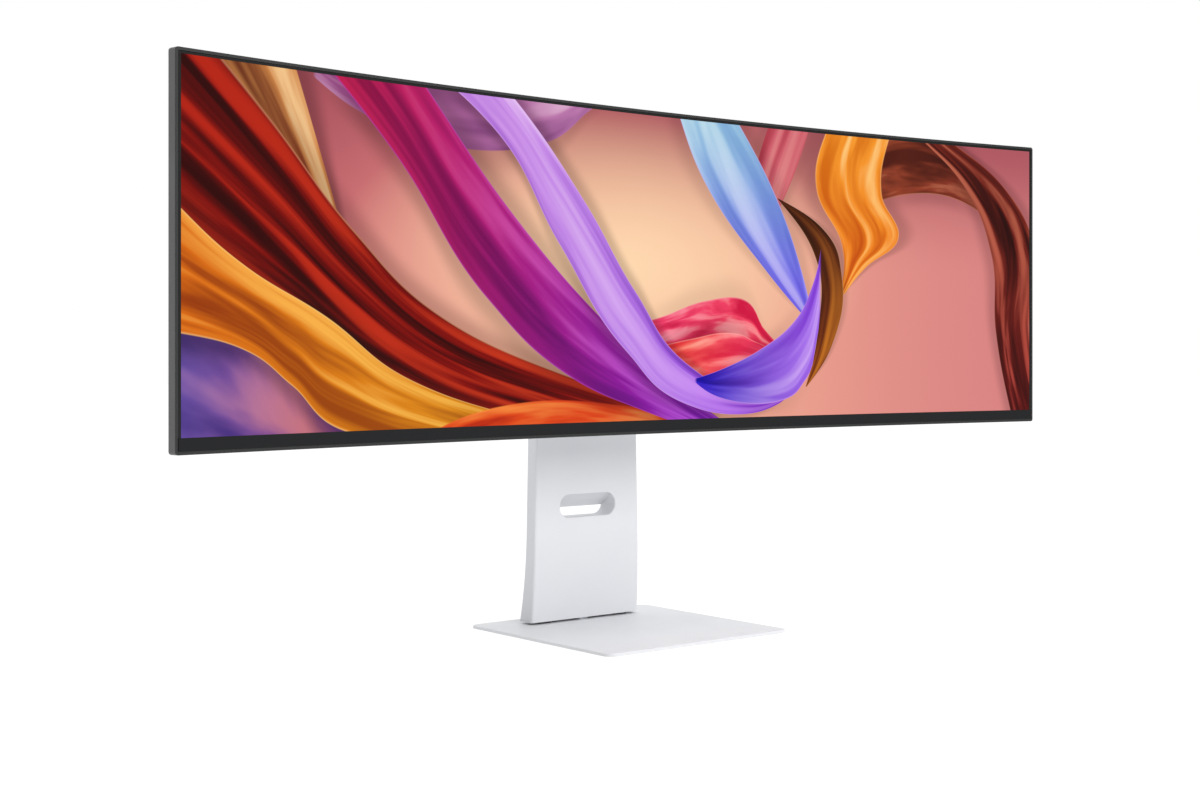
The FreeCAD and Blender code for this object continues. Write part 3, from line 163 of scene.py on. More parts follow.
# PC/ABS for the edge round the screen: a dead satin that only catches light at its corners
dark_edge = finish("charcoal_satin_pc_abs", grained("#1c1e1d", "#181a19", 0.5, 0.42, bump=0.08, IOR=1.45))
# The chin's etch is coarser than the edge's and scatters most of the gloss, so it reads darker
chin_abs = finish("charcoal_etched_abs", grained("#131415", "#17181a", 0.7, 0.55, bump=0.2, IOR=1.45,
                                                 Specular_IOR_Level=0.18))
# Painted frame behind the dark edge: mid grey, even, with a soft sheen
grey_frame = finish("grey_painted_frame", grained("#5c5c5d", "#575758", 0.6, 0.45, bump=0.08, IOR=1.5))
# Black ABS with a deeper etch, which keeps trays, sockets and the joystick free of glare
black_abs = finish("black_moulded_abs", grained("#17181a", "#1c1d1f", 0.6, 0.5, bump=0.2, IOR=1.54))
# Acetal is self-lubricating and comes out of the mould smooth and slightly waxy
acetal = finish("black_acetal", grained("#101112", "#161718", 1.5, 0.32, bump=0.04, IOR=1.48))
# Rubber is black, dull and slightly sooty
rubber = finish("black_rubber", grained("#131313", "#1b1b1b", 0.9, 0.82, bump=0.3, IOR=1.52))
# Diffuser sheet is milky PET: an even white with a silky face
film = finish("white_pet_film", grained("#f2f2ef", "#ecece8", 2.0, 0.35, bump=0.02, IOR=1.57))
print("grained finishes made:", len(bpy.data.materials))

# %% [markdown]
# ## Metals
#
# A metal has no colour under its surface, so metallic is 1 and the base colour is the colour of its
# reflection. What tells rolled, plated and cast metal apart is the direction and size of the marks:
# rolled strip is streaked one way, a casting is pebbled, zinc plate is cloudy. The same recipe with
# a stretched noise gives all of them. Metals keep the shader's default IOR.

# %% One recipe for bare metal
def bare_metal(base, tone, mark_mm, roughness, stretch=(1, 1, 1), bump=0.1):
    """Bare metal; a small stretch along an axis makes the marks long that way."""
    def make(tree):
        place = add(tree, "TexCoord").outputs["Object"]
        drawn = add(tree, "Mapping", {"Vector": place, "Scale": stretch})
        marks = add(tree, "TexNoise", {"Vector": drawn, "Scale": 1 / (mark_mm * MM), "Detail": 4.0,
                                       "Roughness": 0.6})
        cloud = add(tree, "TexNoise", {"Vector": place, "Scale": 1 / (14 * MM), "Detail": 3.0})
        colour = add(tree, "Mix", {"Factor": cloud, "A": linear(base), "B": linear(tone)}, data_type="RGBA")
        gloss = add(tree, "MapRange", {"Value": marks, "From Min": 0.3, "From Max": 0.7,
                                       "To Min": roughness - 0.07, "To Max": roughness + 0.07})
        relief = add(tree, "Bump", {"Height": marks, "Strength": bump, "Distance": 0.1 * mark_mm * MM})
        return add(tree, "BsdfPrincipled", {"Base Color": colour, "Metallic": 1.0, "Roughness": gloss,
                                            "Normal": relief})
    return make


# Bright zinc over steel: cool and a little cloudy, on screws, rods and brackets
zinc_plate = finish("zinc_plated_steel", bare_metal("#b9bcc0", "#a9adb3", 1.5, 0.32))
# Spring strip keeps the upright streaks of the rolls it passed
rolled_strip = finish("rolled_spring_steel", bare_metal("#8f9499", "#7e8388", 0.4, 0.25,
                                                        stretch=(1, 1, 0.1)))
# Pressure-cast zinc is dull and pebbled all over
cast_zinc = finish("cast_zinc_alloy", bare_metal("#8d8f92", "#7f8184", 0.8, 0.5, bump=0.4))
# Nickel is warmer than zinc, and the shells are drawn along the way a plug goes in
nickel = finish("nickel_plated_shell", bare_metal("#c9c7c0", "#bab8b1", 1.0, 0.22, stretch=(1, 0.1, 1)))
# A flash of gold on the contacts: a warm glint in a dark socket
gold = finish("gold_plated_contact", bare_metal("#d9b667", "#cfa855", 0.5, 0.25))
# Mill-finish sheet, streaked along the monitor's width
sheet_aluminium = finish("rolled_aluminium_sheet", bare_metal("#b5b7ba", "#a8abae", 0.8, 0.4,
                                                              stretch=(0.1, 1, 1)))
# Anodised extrusion: nearly black, with a faint grey sheen and the fine lines of the die
anodised = finish("black_anodised_aluminium", bare_metal("#2a2b2d", "#222325", 0.5, 0.42,
                                                         stretch=(1, 1, 0.1)))
print("materials so far:", len(bpy.data.materials))

# %% [markdown]
# ## Boards, acrylic and the status light
#
# A circuit board is glass cloth in epoxy under a green lacquer. The copper tracks under the lacquer
# are slightly raised, which a brick pattern with wide rows suggests well enough inside a closed
# housing. The light guide is clear acrylic with rows of printed dots that lead the light out, and
# the status light is a frosted lens of the same.

# %% Circuit board, light guide and lens
def lacquered_board(tree):
    place = add(tree, "TexCoord").outputs["Object"]
    flat = add(tree, "Mapping", {"Vector": place, "Rotation": (math.radians(90), 0, 0)})
    tracks = add(tree, "TexBrick", {"Vector": flat, "Color1": linear("#0f4a2c"),
                                    "Color2": linear("#125534"), "Mortar": linear("#1d7046"),
                                    "Scale": 1 / (8 * MM), "Mortar Size": 0.04, "Brick Width": 1.6})
    relief = add(tree, "Bump", {"Height": tracks.outputs["Fac"], "Strength": 0.3, "Distance": 0.1 * MM})
    return add(tree, "BsdfPrincipled", {"Base Color": tracks, "Roughness": 0.3, "IOR": 1.55,
                                        "Normal": relief})


def acrylic(tint, roughness, **shader):
    def make(tree):
        place = add(tree, "TexCoord").outputs["Object"]
        dots = add(tree, "TexVoronoi", {"Vector": place, "Scale": 1 / (3 * MM)})
        relief = add(tree, "Bump", {"Height": dots, "Strength": 0.2, "Distance": 0.05 * MM})
        sockets = {"Base Color": linear(tint), "Roughness": roughness, "IOR": 1.49, "Normal": relief}
        sockets.update({name.replace("_", " "): value for name, value in shader.items()})
        return add(tree, "BsdfPrincipled", sockets)
    return make


board_green = finish("green_circuit_board", lacquered_board)
clear_acrylic = finish("clear_acrylic", acrylic("#f2f6f8", 0.05, Transmission_Weight=0.9))
frosted_lens = finish("frosted_lens", acrylic("#f4f4f0", 0.5, Emission_Color=linear("#fff6ea"),
                                              Emission_Strength=0.25))
print("board, acrylic and lens done")

# %% [markdown]
# ## The lit picture
#
# The panel shows a wallpaper of satin ribbons on a peach ground, drawn here with nodes. A picture
# file would be the quick way, but a picture made of nodes stays sharp at any size. The mesh carries a
# UV map in which the picture fills the square from 0 to 1, so `across` runs left to right and `up`
# runs from the bottom to the top.
#
# A ribbon is the strip between two edge curves. A Float Curve node holds each edge, as a few points
# that a spline joins. A Map Range turns the two edges into a place from 0 to 1 across the strip, and
# everything else follows from that place: where the cloth shows, where its hem catches the light,
# and where it throws a soft shadow on the cloth behind.
#
# Satin is bright where its folds face the light and deep in colour between them. A noise that is
# long along the ribbon and short across it gives such folds, and because it is drawn in the ribbon's
# own coordinates it bends with the edges. Two ramps colour the folds at the ribbon's two ends, and a
# mix slides from one to the other.

# %% One ribbon of cloth
# A ribbon is 1 wide in its own coordinates, so its edge lies 0.5 outward from its middle line
CLOTH_EDGE = (0.5, 0.485)
HEM_EDGE = (0.468, 0.495)
END_CUT = 0.003
SHADOW_FADE = 0.08
SHADOW = "#2a0a08"


def ribbon(tree, below, along, over, low, high, start, end, span, folds=2.2, run=2.0, seed=0.0, rim=None,
           shade=0.45, reach=0.35, contrast=0.2):
    """Lays a ribbon between two edges over the colour below. The span is where it starts and stops."""
    first = add(tree, "FloatCurve", {"Value": along}, points=low)
    last = add(tree, "FloatCurve", {"Value": along}, points=high)
    place = add(tree, "MapRange", {"Value": over, "From Min": first, "From Max": last}, clamp=False)
    centred = add(tree, "Math", {0: place, 1: 0.5}, operation="SUBTRACT")
    outward = add(tree, "Math", {0: centred}, operation="ABSOLUTE")
    middle = (span[0] + span[1]) / 2
    half = (span[1] - span[0]) / 2
    from_middle = add(tree, "Math", {0: along, 1: middle}, operation="SUBTRACT")
    to_end = add(tree, "Math", {0: from_middle}, operation="ABSOLUTE")
    inside = add(tree, "MapRange", {"Value": to_end, "From Min": half, "From Max": half - END_CUT})
    cloth = add(tree, "MapRange", {"Value": outward, "From Min": CLOTH_EDGE[0], "From Max": CLOTH_EDGE[1],
                                   "To Max": inside}, interpolation_type="SMOOTHSTEP")

    stretched = add(tree, "Math", {0: along, 1: run}, operation="MULTIPLY")
    narrowed = add(tree, "Math", {0: place, 1: folds}, operation="MULTIPLY")
    weave = add(tree, "CombineXYZ", {"X": stretched, "Y": narrowed, "Z": seed})
    waves = add(tree, "TexNoise", {"Vector": weave, "Scale": 1.0, "Detail": 3.5, "Roughness": 0.5,
                                   "Distortion": 0.4})
    fold = add(tree, "MapRange", {"Value": waves, "From Min": 0.5 - contrast, "From Max": 0.5 + contrast},
               interpolation_type="SMOOTHSTEP")
    progress = add(tree, "MapRange", {"Value": along, "From Min": span[0], "From Max": span[1]},
                   interpolation_type="SMOOTHSTEP")
    colour = add(tree, "Mix", {"Factor": progress, "A": add(tree, "ValToRGB", {"Fac": fold}, stops=start),
                               "B": add(tree, "ValToRGB", {"Fac": fold}, stops=end)}, data_type="RGBA")
    if rim is not None:
        hem = add(tree, "MapRange", {"Value": outward, "From Min": HEM_EDGE[0], "From Max": HEM_EDGE[1],
                                     "To Max": 0.55}, interpolation_type="SMOOTHSTEP")
        colour = add(tree, "Mix", {"Factor": hem, "A": colour, "B": linear(rim)}, data_type="RGBA")

    fading = add(tree, "MapRange", {"Value": to_end, "From Min": half, "From Max": half - SHADOW_FADE,
                                    "To Max": shade}, interpolation_type="SMOOTHSTEP")
    shadow = add(tree, "MapRange", {"Value": outward, "From Min": 0.5 + reach, "From Max": 0.5,
                                    "To Max": fading}, interpolation_type="SMOOTHERSTEP")
    dark = add(tree, "Mix", {"Factor": shadow, "A": below, "B": linear(SHADOW)}, data_type="RGBA")
    return add(tree, "Mix", {"Factor": cloth, "A": dark, "B": colour}, data_type="RGBA")


# %% [markdown]
# The ribbons are laid from the back to the front, as a painter would. Those that run across the
# picture have edges that are heights, as a function of `across`. The steep ones turn this round:
# their edges are places across the picture, as a function of `up`. The ground itself is a glow that
# falls off into salmon and brown.

# %% The ground and the cloth that hangs behind
def backdrop(tree, place, across, up):
    ground = add(tree, "ValToRGB", {"Fac": across}, stops=["#7c2c36", "#d9747c", "#eda08c", "#f4ba9a",
                                                           "#eb9f8c", "#dd8985", "#d88282"])
    ground.color_ramp.interpolation = "B_SPLINE"
    height = add(tree, "MapRange", {"Value": up, "From Min": 0.5, "From Max": 1.05, "To Max": 0.9},
                 interpolation_type="SMOOTHSTEP")
    shaded = add(tree, "Mix", {"Factor": height, "A": ground, "B": linear("#a8505c")}, data_type="RGBA")
    centre = add(tree, "Mapping", {"Vector": place, "Location": (-1.45, -1.0, 0), "Scale": (3.2, 2.0, 1)})
    glow = add(tree, "TexGradient", {"Vector": centre}, gradient_type="SPHERICAL").outputs["Fac"]
    return add(tree, "Mix", {"Factor": glow, "A": shaded, "B": linear("#ffd9b0")}, data_type="RGBA")


def hanging_cloth(tree, picture, across, up):
    steep = {"along": up, "over": across}
    level = {"along": across, "over": up}
    # violet cloth along the top, a pale strip at the left and a rose one right of the middle
    picture = ribbon(tree, picture, **level,
                     low=[(0.12, 0.99), (0.2, 0.87), (0.28, 0.83), (0.36, 0.87), (0.43, 1.02),
                          (0.46, 1.05)],
                     high=[(0.12, 1.12), (0.28, 1.16), (0.46, 1.12)],
                     start=["#6a2a5c", "#a0528c", "#cf96bc"], end=["#8a4a86", "#c07cb0", "#e6bcd8"],
                     seed=2.0, run=5.0, folds=1.6, span=(0.12, 0.46), shade=0.2)
    picture = ribbon(tree, picture, **steep, low=[(0, 0.17), (0.5, 0.135), (1, 0.02)],
                     high=[(0, 0.2), (0.5, 0.155), (1, 0.105)], start=["#a34a28", "#e3985c", "#f6cf9c"],
                     end=["#7c3a1c", "#cf8648", "#f2c48a"], seed=3.0, run=1.4, folds=3.0, span=(0.3, 1.1))
    picture = ribbon(tree, picture, **steep, low=[(0.6, 0.622), (0.8, 0.618), (1, 0.636)],
                     high=[(0.6, 0.628), (0.8, 0.664), (1, 0.69)], start=["#b04054", "#d0606c", "#e28a88"],
                     end=["#a8303f", "#cc5a68", "#dd7f84"], seed=5.0, run=1.0, span=(0.6, 1.1), shade=0.15)
    # the maroon ribbon: an arch, then its end that falls along the right edge
    picture = ribbon(tree, picture, **level, low=[(0.76, 0.7), (0.82, 0.8), (0.89, 0.8), (0.955, 0.56)],
                     high=[(0.76, 0.92), (0.82, 1.02), (0.89, 1.0), (0.955, 0.7)],
                     start=["#5a1f12", "#a5492e", "#e59270"], end=["#35100c", "#6e2218", "#a04a34"],
                     seed=11.0, run=9.0, folds=2.6, span=(0.765, 0.955), rim="#dd9070", shade=0.25)
    return ribbon(tree, picture, **steep,
                  low=[(0, 0.972), (0.3, 0.951), (0.6, 0.944), (0.85, 0.905), (1, 0.85)],
                  high=[(0, 1.02), (0.3, 1.0), (0.6, 1.01), (0.85, 0.965), (1, 0.895)],
                  start=["#200606", "#5e1412", "#b04038"], end=["#2e0a08", "#74241a", "#b8634a"],
                  seed=13.0, run=1.8, folds=3.2, span=(-0.1, 1.1), rim="#b05a4a", shade=0.3)


# %% [markdown]
# Right of the middle the ribbons make a bowl: a pale blue one comes down from the top, a brown one
# closes the far side, coral cloth lies crumpled inside, and orange cloth hangs next to it.

# %% The bowl of ribbons
def bowl(tree, picture, across, up):
    steep = {"along": up, "over": across}
    level = {"along": across, "over": up}
    picture = ribbon(tree, picture, **steep, low=[(0.42, 0.731), (0.6, 0.735), (0.8, 0.7), (1, 0.712)],
                     high=[(0.42, 0.736), (0.53, 0.768), (0.63, 0.812), (0.8, 0.79), (1, 0.80)],
                     start=["#c2480a", "#ee7f1c", "#ffb257"], end=["#d9730f", "#f79a2c", "#ffd084"],
                     seed=17.0, run=2.0, folds=4.0, span=(0.43, 1.1), rim="#ffc27a", shade=0.3)
    picture = ribbon(tree, picture, **steep, low=[(0.34, 0.687), (0.5, 0.635), (0.76, 0.562), (1, 0.524)],
                     high=[(0.34, 0.695), (0.5, 0.682), (0.76, 0.648), (1, 0.6)],
                     start=["#4a34c8", "#7565e8", "#b3a6f4"], end=["#6fa0d0", "#9cc8e0", "#c9e6ee"],
                     seed=19.0, run=1.3, folds=1.6, span=(0.34, 1.1), rim="#c7b6f4", shade=0.2)
    picture = ribbon(tree, picture, **level, low=[(0.45, 0.2), (0.54, 0.1), (0.6, 0.12), (0.66, 0.2)],
                     high=[(0.45, 0.3), (0.5, 0.34), (0.56, 0.4), (0.6, 0.41), (0.63, 0.31), (0.66, 0.22)],
                     start=["#c81244", "#ee3f6c", "#ff8fa6"], end=["#d01440", "#f0405e", "#ff9a9a"],
                     seed=23.0, run=16.0, folds=5.0, span=(0.45, 0.66), rim="#ff9fb0", shade=0.15)
    picture = ribbon(tree, picture, **level, low=[(0.47, 0.1), (0.54, 0.05), (0.6, 0.1), (0.65, 0.2)],
                     high=[(0.47, 0.22), (0.54, 0.27), (0.59, 0.29), (0.62, 0.26), (0.65, 0.22)],
                     start=["#e0302c", "#f4664e", "#ffab86"], end=["#d8184a", "#f23f66", "#ff8c9c"],
                     seed=27.0, run=12.0, folds=3.5, span=(0.47, 0.65), rim="#ffb3a4", shade=0.35)
    return ribbon(tree, picture, **steep, low=[(0.1, 0.686), (0.3, 0.702), (0.55, 0.7), (0.76, 0.648)],
                  high=[(0.1, 0.687), (0.25, 0.722), (0.5, 0.735), (0.66, 0.71), (0.76, 0.649)],
                  start=["#c2701e", "#7a3410", "#3a1606"], end=["#8a4a1c", "#4e220a", "#2a1004"],
                  seed=29.0, run=1.5, folds=1.5, span=(0.1, 0.76), rim="#e6bb92", shade=0.25)


# %% [markdown]
# At the left and along the bottom lies the heavy cloth: dark red satin with deep folds, orange and
# gold under it, and a violet corner.

# %% The heavy cloth
def heavy_cloth(tree, picture, across, up):
    level = {"along": across, "over": up}
    picture = ribbon(tree, picture, **level,
                     low=[(0, 0.55), (0.1, 0.34), (0.2, 0.14), (0.3, 0.02), (0.56, -0.1)],
                     high=[(0, 1.12), (0.08, 0.86), (0.16, 0.57), (0.25, 0.33), (0.36, 0.18), (0.6, -0.03)],
                     start=["#300202", "#740a06", "#b3200f"], end=["#3a0202", "#8c0d08", "#c93a1a"],
                     seed=31.0, run=2.8, folds=6.0, span=(-0.1, 0.6), rim="#eaa478", shade=0.35,
                     contrast=0.17)
    picture = ribbon(tree, picture, **level, low=[(0, -0.3), (0.1, -0.3), (0.2, -0.3)],
                     high=[(0, 0.32), (0.06, 0.24), (0.12, 0.08), (0.2, -0.1)],
                     start=["#2c2a78", "#4b4aa8", "#8c78c8"], end=["#5a3484", "#96507e", "#d0705e"],
                     seed=37.0, run=7.0, folds=2.6, span=(-0.1, 0.2), shade=0.1)
    picture = ribbon(tree, picture, **level,
                     low=[(0, 0.27), (0.05, 0.235), (0.1, 0.13), (0.15, 0), (0.34, -0.1)],
                     high=[(0, 0.6), (0.06, 0.45), (0.13, 0.33), (0.22, 0.14), (0.34, 0.02)],
                     start=["#8c2c06", "#d8640f", "#f5a040"], end=["#a2500a", "#dd8c18", "#fbbf50"],
                     seed=41.0, run=4.0, folds=3.6, span=(-0.1, 0.34), rim="#ffd98a", shade=0.45)
    return ribbon(tree, picture, **level, low=[(0.2, -0.3), (0.64, -0.3)],
                  high=[(0.22, -0.04), (0.34, 0.07), (0.46, 0.05), (0.58, -0.03), (0.64, -0.1)],
                  start=["#a81408", "#e04a18", "#f88a3a"], end=["#8c0c10", "#d8401a", "#f7a058"],
                  seed=43.0, run=5.0, folds=4.0, span=(0.22, 0.64), shade=0.1)


# %% [markdown]
# Last come the two ribbons in front. A crimson one turns purple on its way down, and a lilac one
# crosses it and turns up into the bowl.

# %% The ribbons in front, and the whole picture
def front_ribbons(tree, picture, across, up):
    level = {"along": across, "over": up}
    picture = ribbon(tree, picture, **level,
                     low=[(0.1, 1.12), (0.2, 0.8), (0.3, 0.38), (0.4, 0.13), (0.48, 0.03), (0.6, -0.09)],
                     high=[(0.16, 1.3), (0.24, 0.98), (0.33, 0.64), (0.43, 0.33), (0.51, 0.13),
                           (0.6, -0.05)],
                     start=["#86083a", "#c21c4c", "#e24a70"], end=["#3c0878", "#7a18a8", "#b854dc"],
                     seed=47.0, run=2.4, folds=2.4, span=(0.1, 0.6), rim="#b64ac4", shade=0.35)
    picture = ribbon(tree, picture, **level,
                     low=[(0.18, 1.15), (0.3, 0.92), (0.38, 0.56), (0.46, 0.22), (0.54, 0.04), (0.6, 0.01),
                          (0.64, 0.03), (0.67, 0.11)],
                     high=[(0.22, 1.3), (0.33, 1.0), (0.41, 0.7), (0.47, 0.42), (0.54, 0.17), (0.6, 0.09),
                           (0.64, 0.08), (0.67, 0.14)],
                     start=["#b06ad8", "#dca4ee", "#f8dcf6"], end=["#5a14a8", "#8a34d8", "#bc74f0"],
                     seed=53.0, run=2.6, folds=2.0, span=(0.18, 0.67), rim="#e6b8f8", shade=0.35)
    return ribbon(tree, picture, **level,
                  low=[(0.54, 0.13), (0.6, 0.05), (0.65, 0.05), (0.685, 0.12), (0.7, 0.25), (0.708, 0.56)],
                  high=[(0.54, 0.132), (0.58, 0.17), (0.63, 0.24), (0.67, 0.33), (0.695, 0.46),
                        (0.708, 0.62)],
                  start=["#0c0478", "#1c0cb0", "#3f24d0"], end=["#7a30d0", "#a870ec", "#dcb6fa"],
                  seed=59.0, run=6.0, folds=1.8, span=(0.542, 0.707), rim="#e4a6ea", shade=0.2)


def wallpaper(tree):
    place = add(tree, "UVMap", uv_map="picture").outputs["UV"]
    axes = add(tree, "SeparateXYZ", {"Vector": place}).outputs
    across, up = axes["X"], axes["Y"]
    picture = backdrop(tree, place, across, up)
    for layer in (hanging_cloth, bowl, heavy_cloth, front_ribbons):
        picture = layer(tree, picture, across, up)
    return picture


# %% [markdown]
# The front of the panel is an anti-reflective film over glass: black and slightly rough, so that it
# shows only a weak, blurred gloss. The picture is light that leaves it, so it goes into the emission
# colour. Round the picture runs the black matrix, a dark border that never lights.

# %% Screen and border finishes
def lit_film(tree):
    """The IOR is far below that of glass, because the film's coating cancels most reflections."""
    place = add(tree, "TexCoord").outputs["Object"]
    haze = add(tree, "TexNoise", {"Vector": place, "Scale": 1 / (1.0 * MM), "Detail": 1.0})
    relief = add(tree, "Bump", {"Height": haze, "Strength": 0.05, "Distance": 0.05 * MM})
    return add(tree, "BsdfPrincipled", {"Base Color": linear("#030303"), "Roughness": 0.35, "IOR": 1.12,
                                        "Emission Color": wallpaper(tree), "Emission Strength": 1.0,
                                        "Normal": relief})


anti_glare = finish("anti_glare_film", lit_film)
black_matrix = finish("black_matrix_glass", grained("#141414", "#181818", 0.5, 0.25, bump=0.03, IOR=1.3))
print("the wallpaper has", len(anti_glare.node_tree.nodes), "nodes")

# %% [markdown]
# ## The panel
#
# The CAD panel is a slab whose curve is cut into flats. Light shows every flat, so the panel is
# built again from the same box with a step every few millimetres. The front is a lit middle and a
# dark border, and the four outer edges are ground to a small chamfer.

# %% A slab that follows the curve
def on_screen(arc, depth, z):
    """The point at an arc length from the middle, at a depth behind the front surface."""
    angle = arc / SCREEN_R
    radius = SCREEN_R + depth
    return Vector((radius * math.sin(angle), CURVE_Y + radius * math.cos(angle), z))


def piece(name, shape, body, material, stands_for=()):
    """Turns a bmesh into an object that rides on a body, and hides the CAD nodes that it stands in for."""
    bmesh.ops.recalc_face_normals(shape, faces=shape.faces)
    mesh = bpy.data.meshes.new(name)
    shape.to_mesh(mesh)
    shape.free()
    made = bpy.data.objects.new(name, mesh)
    for each in material if isinstance(material, list) else [material]:
        mesh.materials.append(each)
    bpy.context.scene.collection.objects.link(made)
    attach(made, body)
    if stands_for:
        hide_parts(*stands_for)
    print(name, len(mesh.polygons), "faces")
    return made


def panel_shape(step=6 * MM, chamfer=0.25 * MM):
    """Closed curved slab: picture, border, chamfered edge, sides and back."""
    half = SCREEN_R * math.asin(panel_high.x / (SCREEN_R + PANEL_T))
    low, high = panel_low.z, panel_high.z
    lit = PICTURE_W / 2
    count = round(2 * lit / step)
    arcs = [-half, -half + chamfer]
    arcs += [-lit + 2 * lit * index / count for index in range(count + 1)]
    arcs += [half - chamfer, half]
    rows = [(low, chamfer), (low + chamfer, 0.0), (PICTURE_BOTTOM, 0.0), (PICTURE_TOP, 0.0),
            (high - chamfer, 0.0), (high, chamfer), (high, PANEL_T), (low, PANEL_T)]
    shape = bmesh.new()
    columns = []
    for arc in arcs:
        edge = chamfer if abs(arc) == half else 0.0
        columns.append([shape.verts.new(on_screen(arc, max(edge, depth), z)) for z, depth in rows])
    picture_row = 2
    first_lit = 2
    for index, (left, right) in enumerate(zip(columns, columns[1:])):
        lights = first_lit <= index < first_lit + count
        for row in range(len(rows)):
            after = (row + 1) % len(rows)
            face = shape.faces.new((left[row], right[row], right[after], left[after]))
            face.material_index = 0 if lights and row == picture_row else 1
    for column in (columns[0], columns[-1]):
        shape.faces.new(column).material_index = 1
    uv = shape.loops.layers.uv.new("picture")
    for face in shape.faces:
        for loop in face.loops:
            spot = loop.vert.co
            arc = math.atan2(spot.x, spot.y - CURVE_Y) * SCREEN_R
            loop[uv].uv = (arc / PICTURE_W + 0.5, (spot.z - PICTURE_BOTTOM) / PICTURE_H)
    return shape


piece("lit_panel", panel_shape(), "display", [anti_glare, black_matrix], ["lcd_panel"])

# %% [markdown]
# ## Finishes for the CAD nodes
#
# A CAD node keeps its shape and only gets a material, in place of the plain one it came with. One
# table says which finish goes on which nodes.

# %% Dress the CAD nodes
FINISHES = [
    (white_abs, ["neck_front_cover", "neck_rear_cover", "cable_slot_liner", "rear_cover", "hinge_cover",
                 "release_button"]),
    (powder_coat, ["base_plate"]),
    (dark_edge, ["front_frame"]),
    (chin_abs, ["chin_bezel"]),
    (grey_frame, ["middle_frame"]),
    (black_abs, ["socket_tray", "inlet_tray", "mains_inlet", "headphone_socket", "speakers",
                 "joystick_base"]),
    (acetal, ["glide_pads", "slide_bushes", "joystick_ring", "joystick_stem"]),
    (rubber, ["stop_buffers"]),
    (film, ["optical_sheets"]),
    (zinc_plate, ["base_screw", "pivot_post", "pivot_nut", "neck_column", "neck_screws", "guide_rods",
                  "spring_arbor", "carriage_plate", "carriage_screws", "tilt_shaft", "tilt_nut",
                  "head_plate", "latch_hook", "mount_frame", "cover_screws", "lock_plate", "board_posts"]),
    (rolled_strip, ["spring_strips", "friction_washers"]),
    (cast_zinc, ["neck_foot", "tilt_bracket"]),
    (nickel, ["hdmi_sockets", "display_port_socket", "usb_c_socket", "usb_a_sockets"]),
    (sheet_aluminium, ["panel_chassis"]),
    (anodised, ["heat_sink"]),
    (board_green, ["main_board", "power_board", "led_bar"]),
    (clear_acrylic, ["light_guide_plate"]),
    (frosted_lens, ["status_light"]),
]
for material, names in FINISHES:
    for name in names:
        nodes[name].data.materials.clear()
        nodes[name].data.materials.append(material)
print("CAD nodes dressed:", sum(len(names) for _, names in FINISHES))

# %% [markdown]
# ## Springs
#
# Two kinds of spring carry the display. A torsion spring on the tilt shaft is a close helix of round
# wire. The two lift springs are rolled strip, like a tape measure, so the display weighs the same to
# the hand at every height. Both are one profile carried along a path: at each step the profile's
# points are placed on two directions across the path, and neighbouring rings are joined by faces.

# %% A profile carried along a path
def carried(shape, path, outline, up):
    """Adds a closed tube: the outline's points (across, along up) repeated at each point of a path."""
    rings = []
    for index, spot in enumerate(path):
        before = path[max(index - 1, 0)]
        after = path[min(index + 1, len(path) - 1)]
        side = (after - before).normalized().cross(up).normalized()
        rings.append([shape.verts.new(spot + side * a + up * b) for a, b in outline])
    for ring, following in zip(rings, rings[1:]):
        for index in range(len(outline)):
            after = (index + 1) % len(outline)
            shape.faces.new((ring[index], ring[after], following[after], following[index]))
    shape.faces.new(rings[0])
    shape.faces.new(rings[-1])


def smooth(shape):
    for face in shape.faces:
        face.smooth = True
    return shape


def torsion_spring(turns=16, wire=2.4 * MM, sides=10, steps=20):
    low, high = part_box("tilt_spring")
    middle = (low + high) / 2
    radius = (high.z - low.z) / 2 - wire / 2
    start = low.x + wire / 2
    run = high.x - low.x - wire
    path = []
    for step in range(turns * steps + 1):
        angle = 2 * math.pi * step / steps
        path.append(Vector((start + run * step / (turns * steps), middle.y + radius * math.cos(angle),
                            middle.z + radius * math.sin(angle))))
    circle = [2 * math.pi * index / sides for index in range(sides)]
    outline = [(wire / 2 * math.cos(a), wire / 2 * math.sin(a)) for a in circle]
    shape = bmesh.new()
    carried(shape, path, outline, Vector((1, 0, 0)))
    return smooth(shape)


def rolled_springs(turns=7, strip=0.22 * MM, roll=2.8 * MM, sleeve=8 * MM, wide=7 * MM, steps=36):
    """Both spirals, seen along X: each turn lies on the one before, with a hair of air between.
    Half widths: `sleeve` of the CAD sleeve each one fills, `wide` of the strip."""
    low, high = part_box("lift_springs")
    middle = (low + high) / 2
    outer = (high.z - low.z) / 2 - strip
    inner = outer - roll
    half = (high.x - low.x) / 2
    shape = bmesh.new()
    for side in (-1, 1):
        centre = side * (half - sleeve)
        path = []
        for step in range(turns * steps + 1):
            angle = 2 * math.pi * step / steps
            radius = inner + (outer - inner) * step / (turns * steps)
            path.append(Vector((centre, middle.y - radius * math.cos(angle),
                                middle.z + radius * math.sin(angle))))
        outline = [(-strip / 2, -wide), (strip / 2, -wide), (strip / 2, wide), (-strip / 2, wide)]
        carried(shape, path, outline, Vector((1, 0, 0)))
    return shape


piece("torsion_spring", torsion_spring(), "carriage", rolled_strip, ["tilt_spring"])
piece("rolled_lift_springs", rolled_springs(), "neck", rolled_strip, ["lift_springs"])

# %% [markdown]
# ## Turned pieces
#
# Feet and the joystick's cap are round, so each is a half outline turned about an upright axis. The
# feet are moulded pads with a thin lip round the rim, which spreads under load and grips the table.
# The cap has a dished face for a fingertip and ribs round its side, so its radius also swings a
# little with the angle.

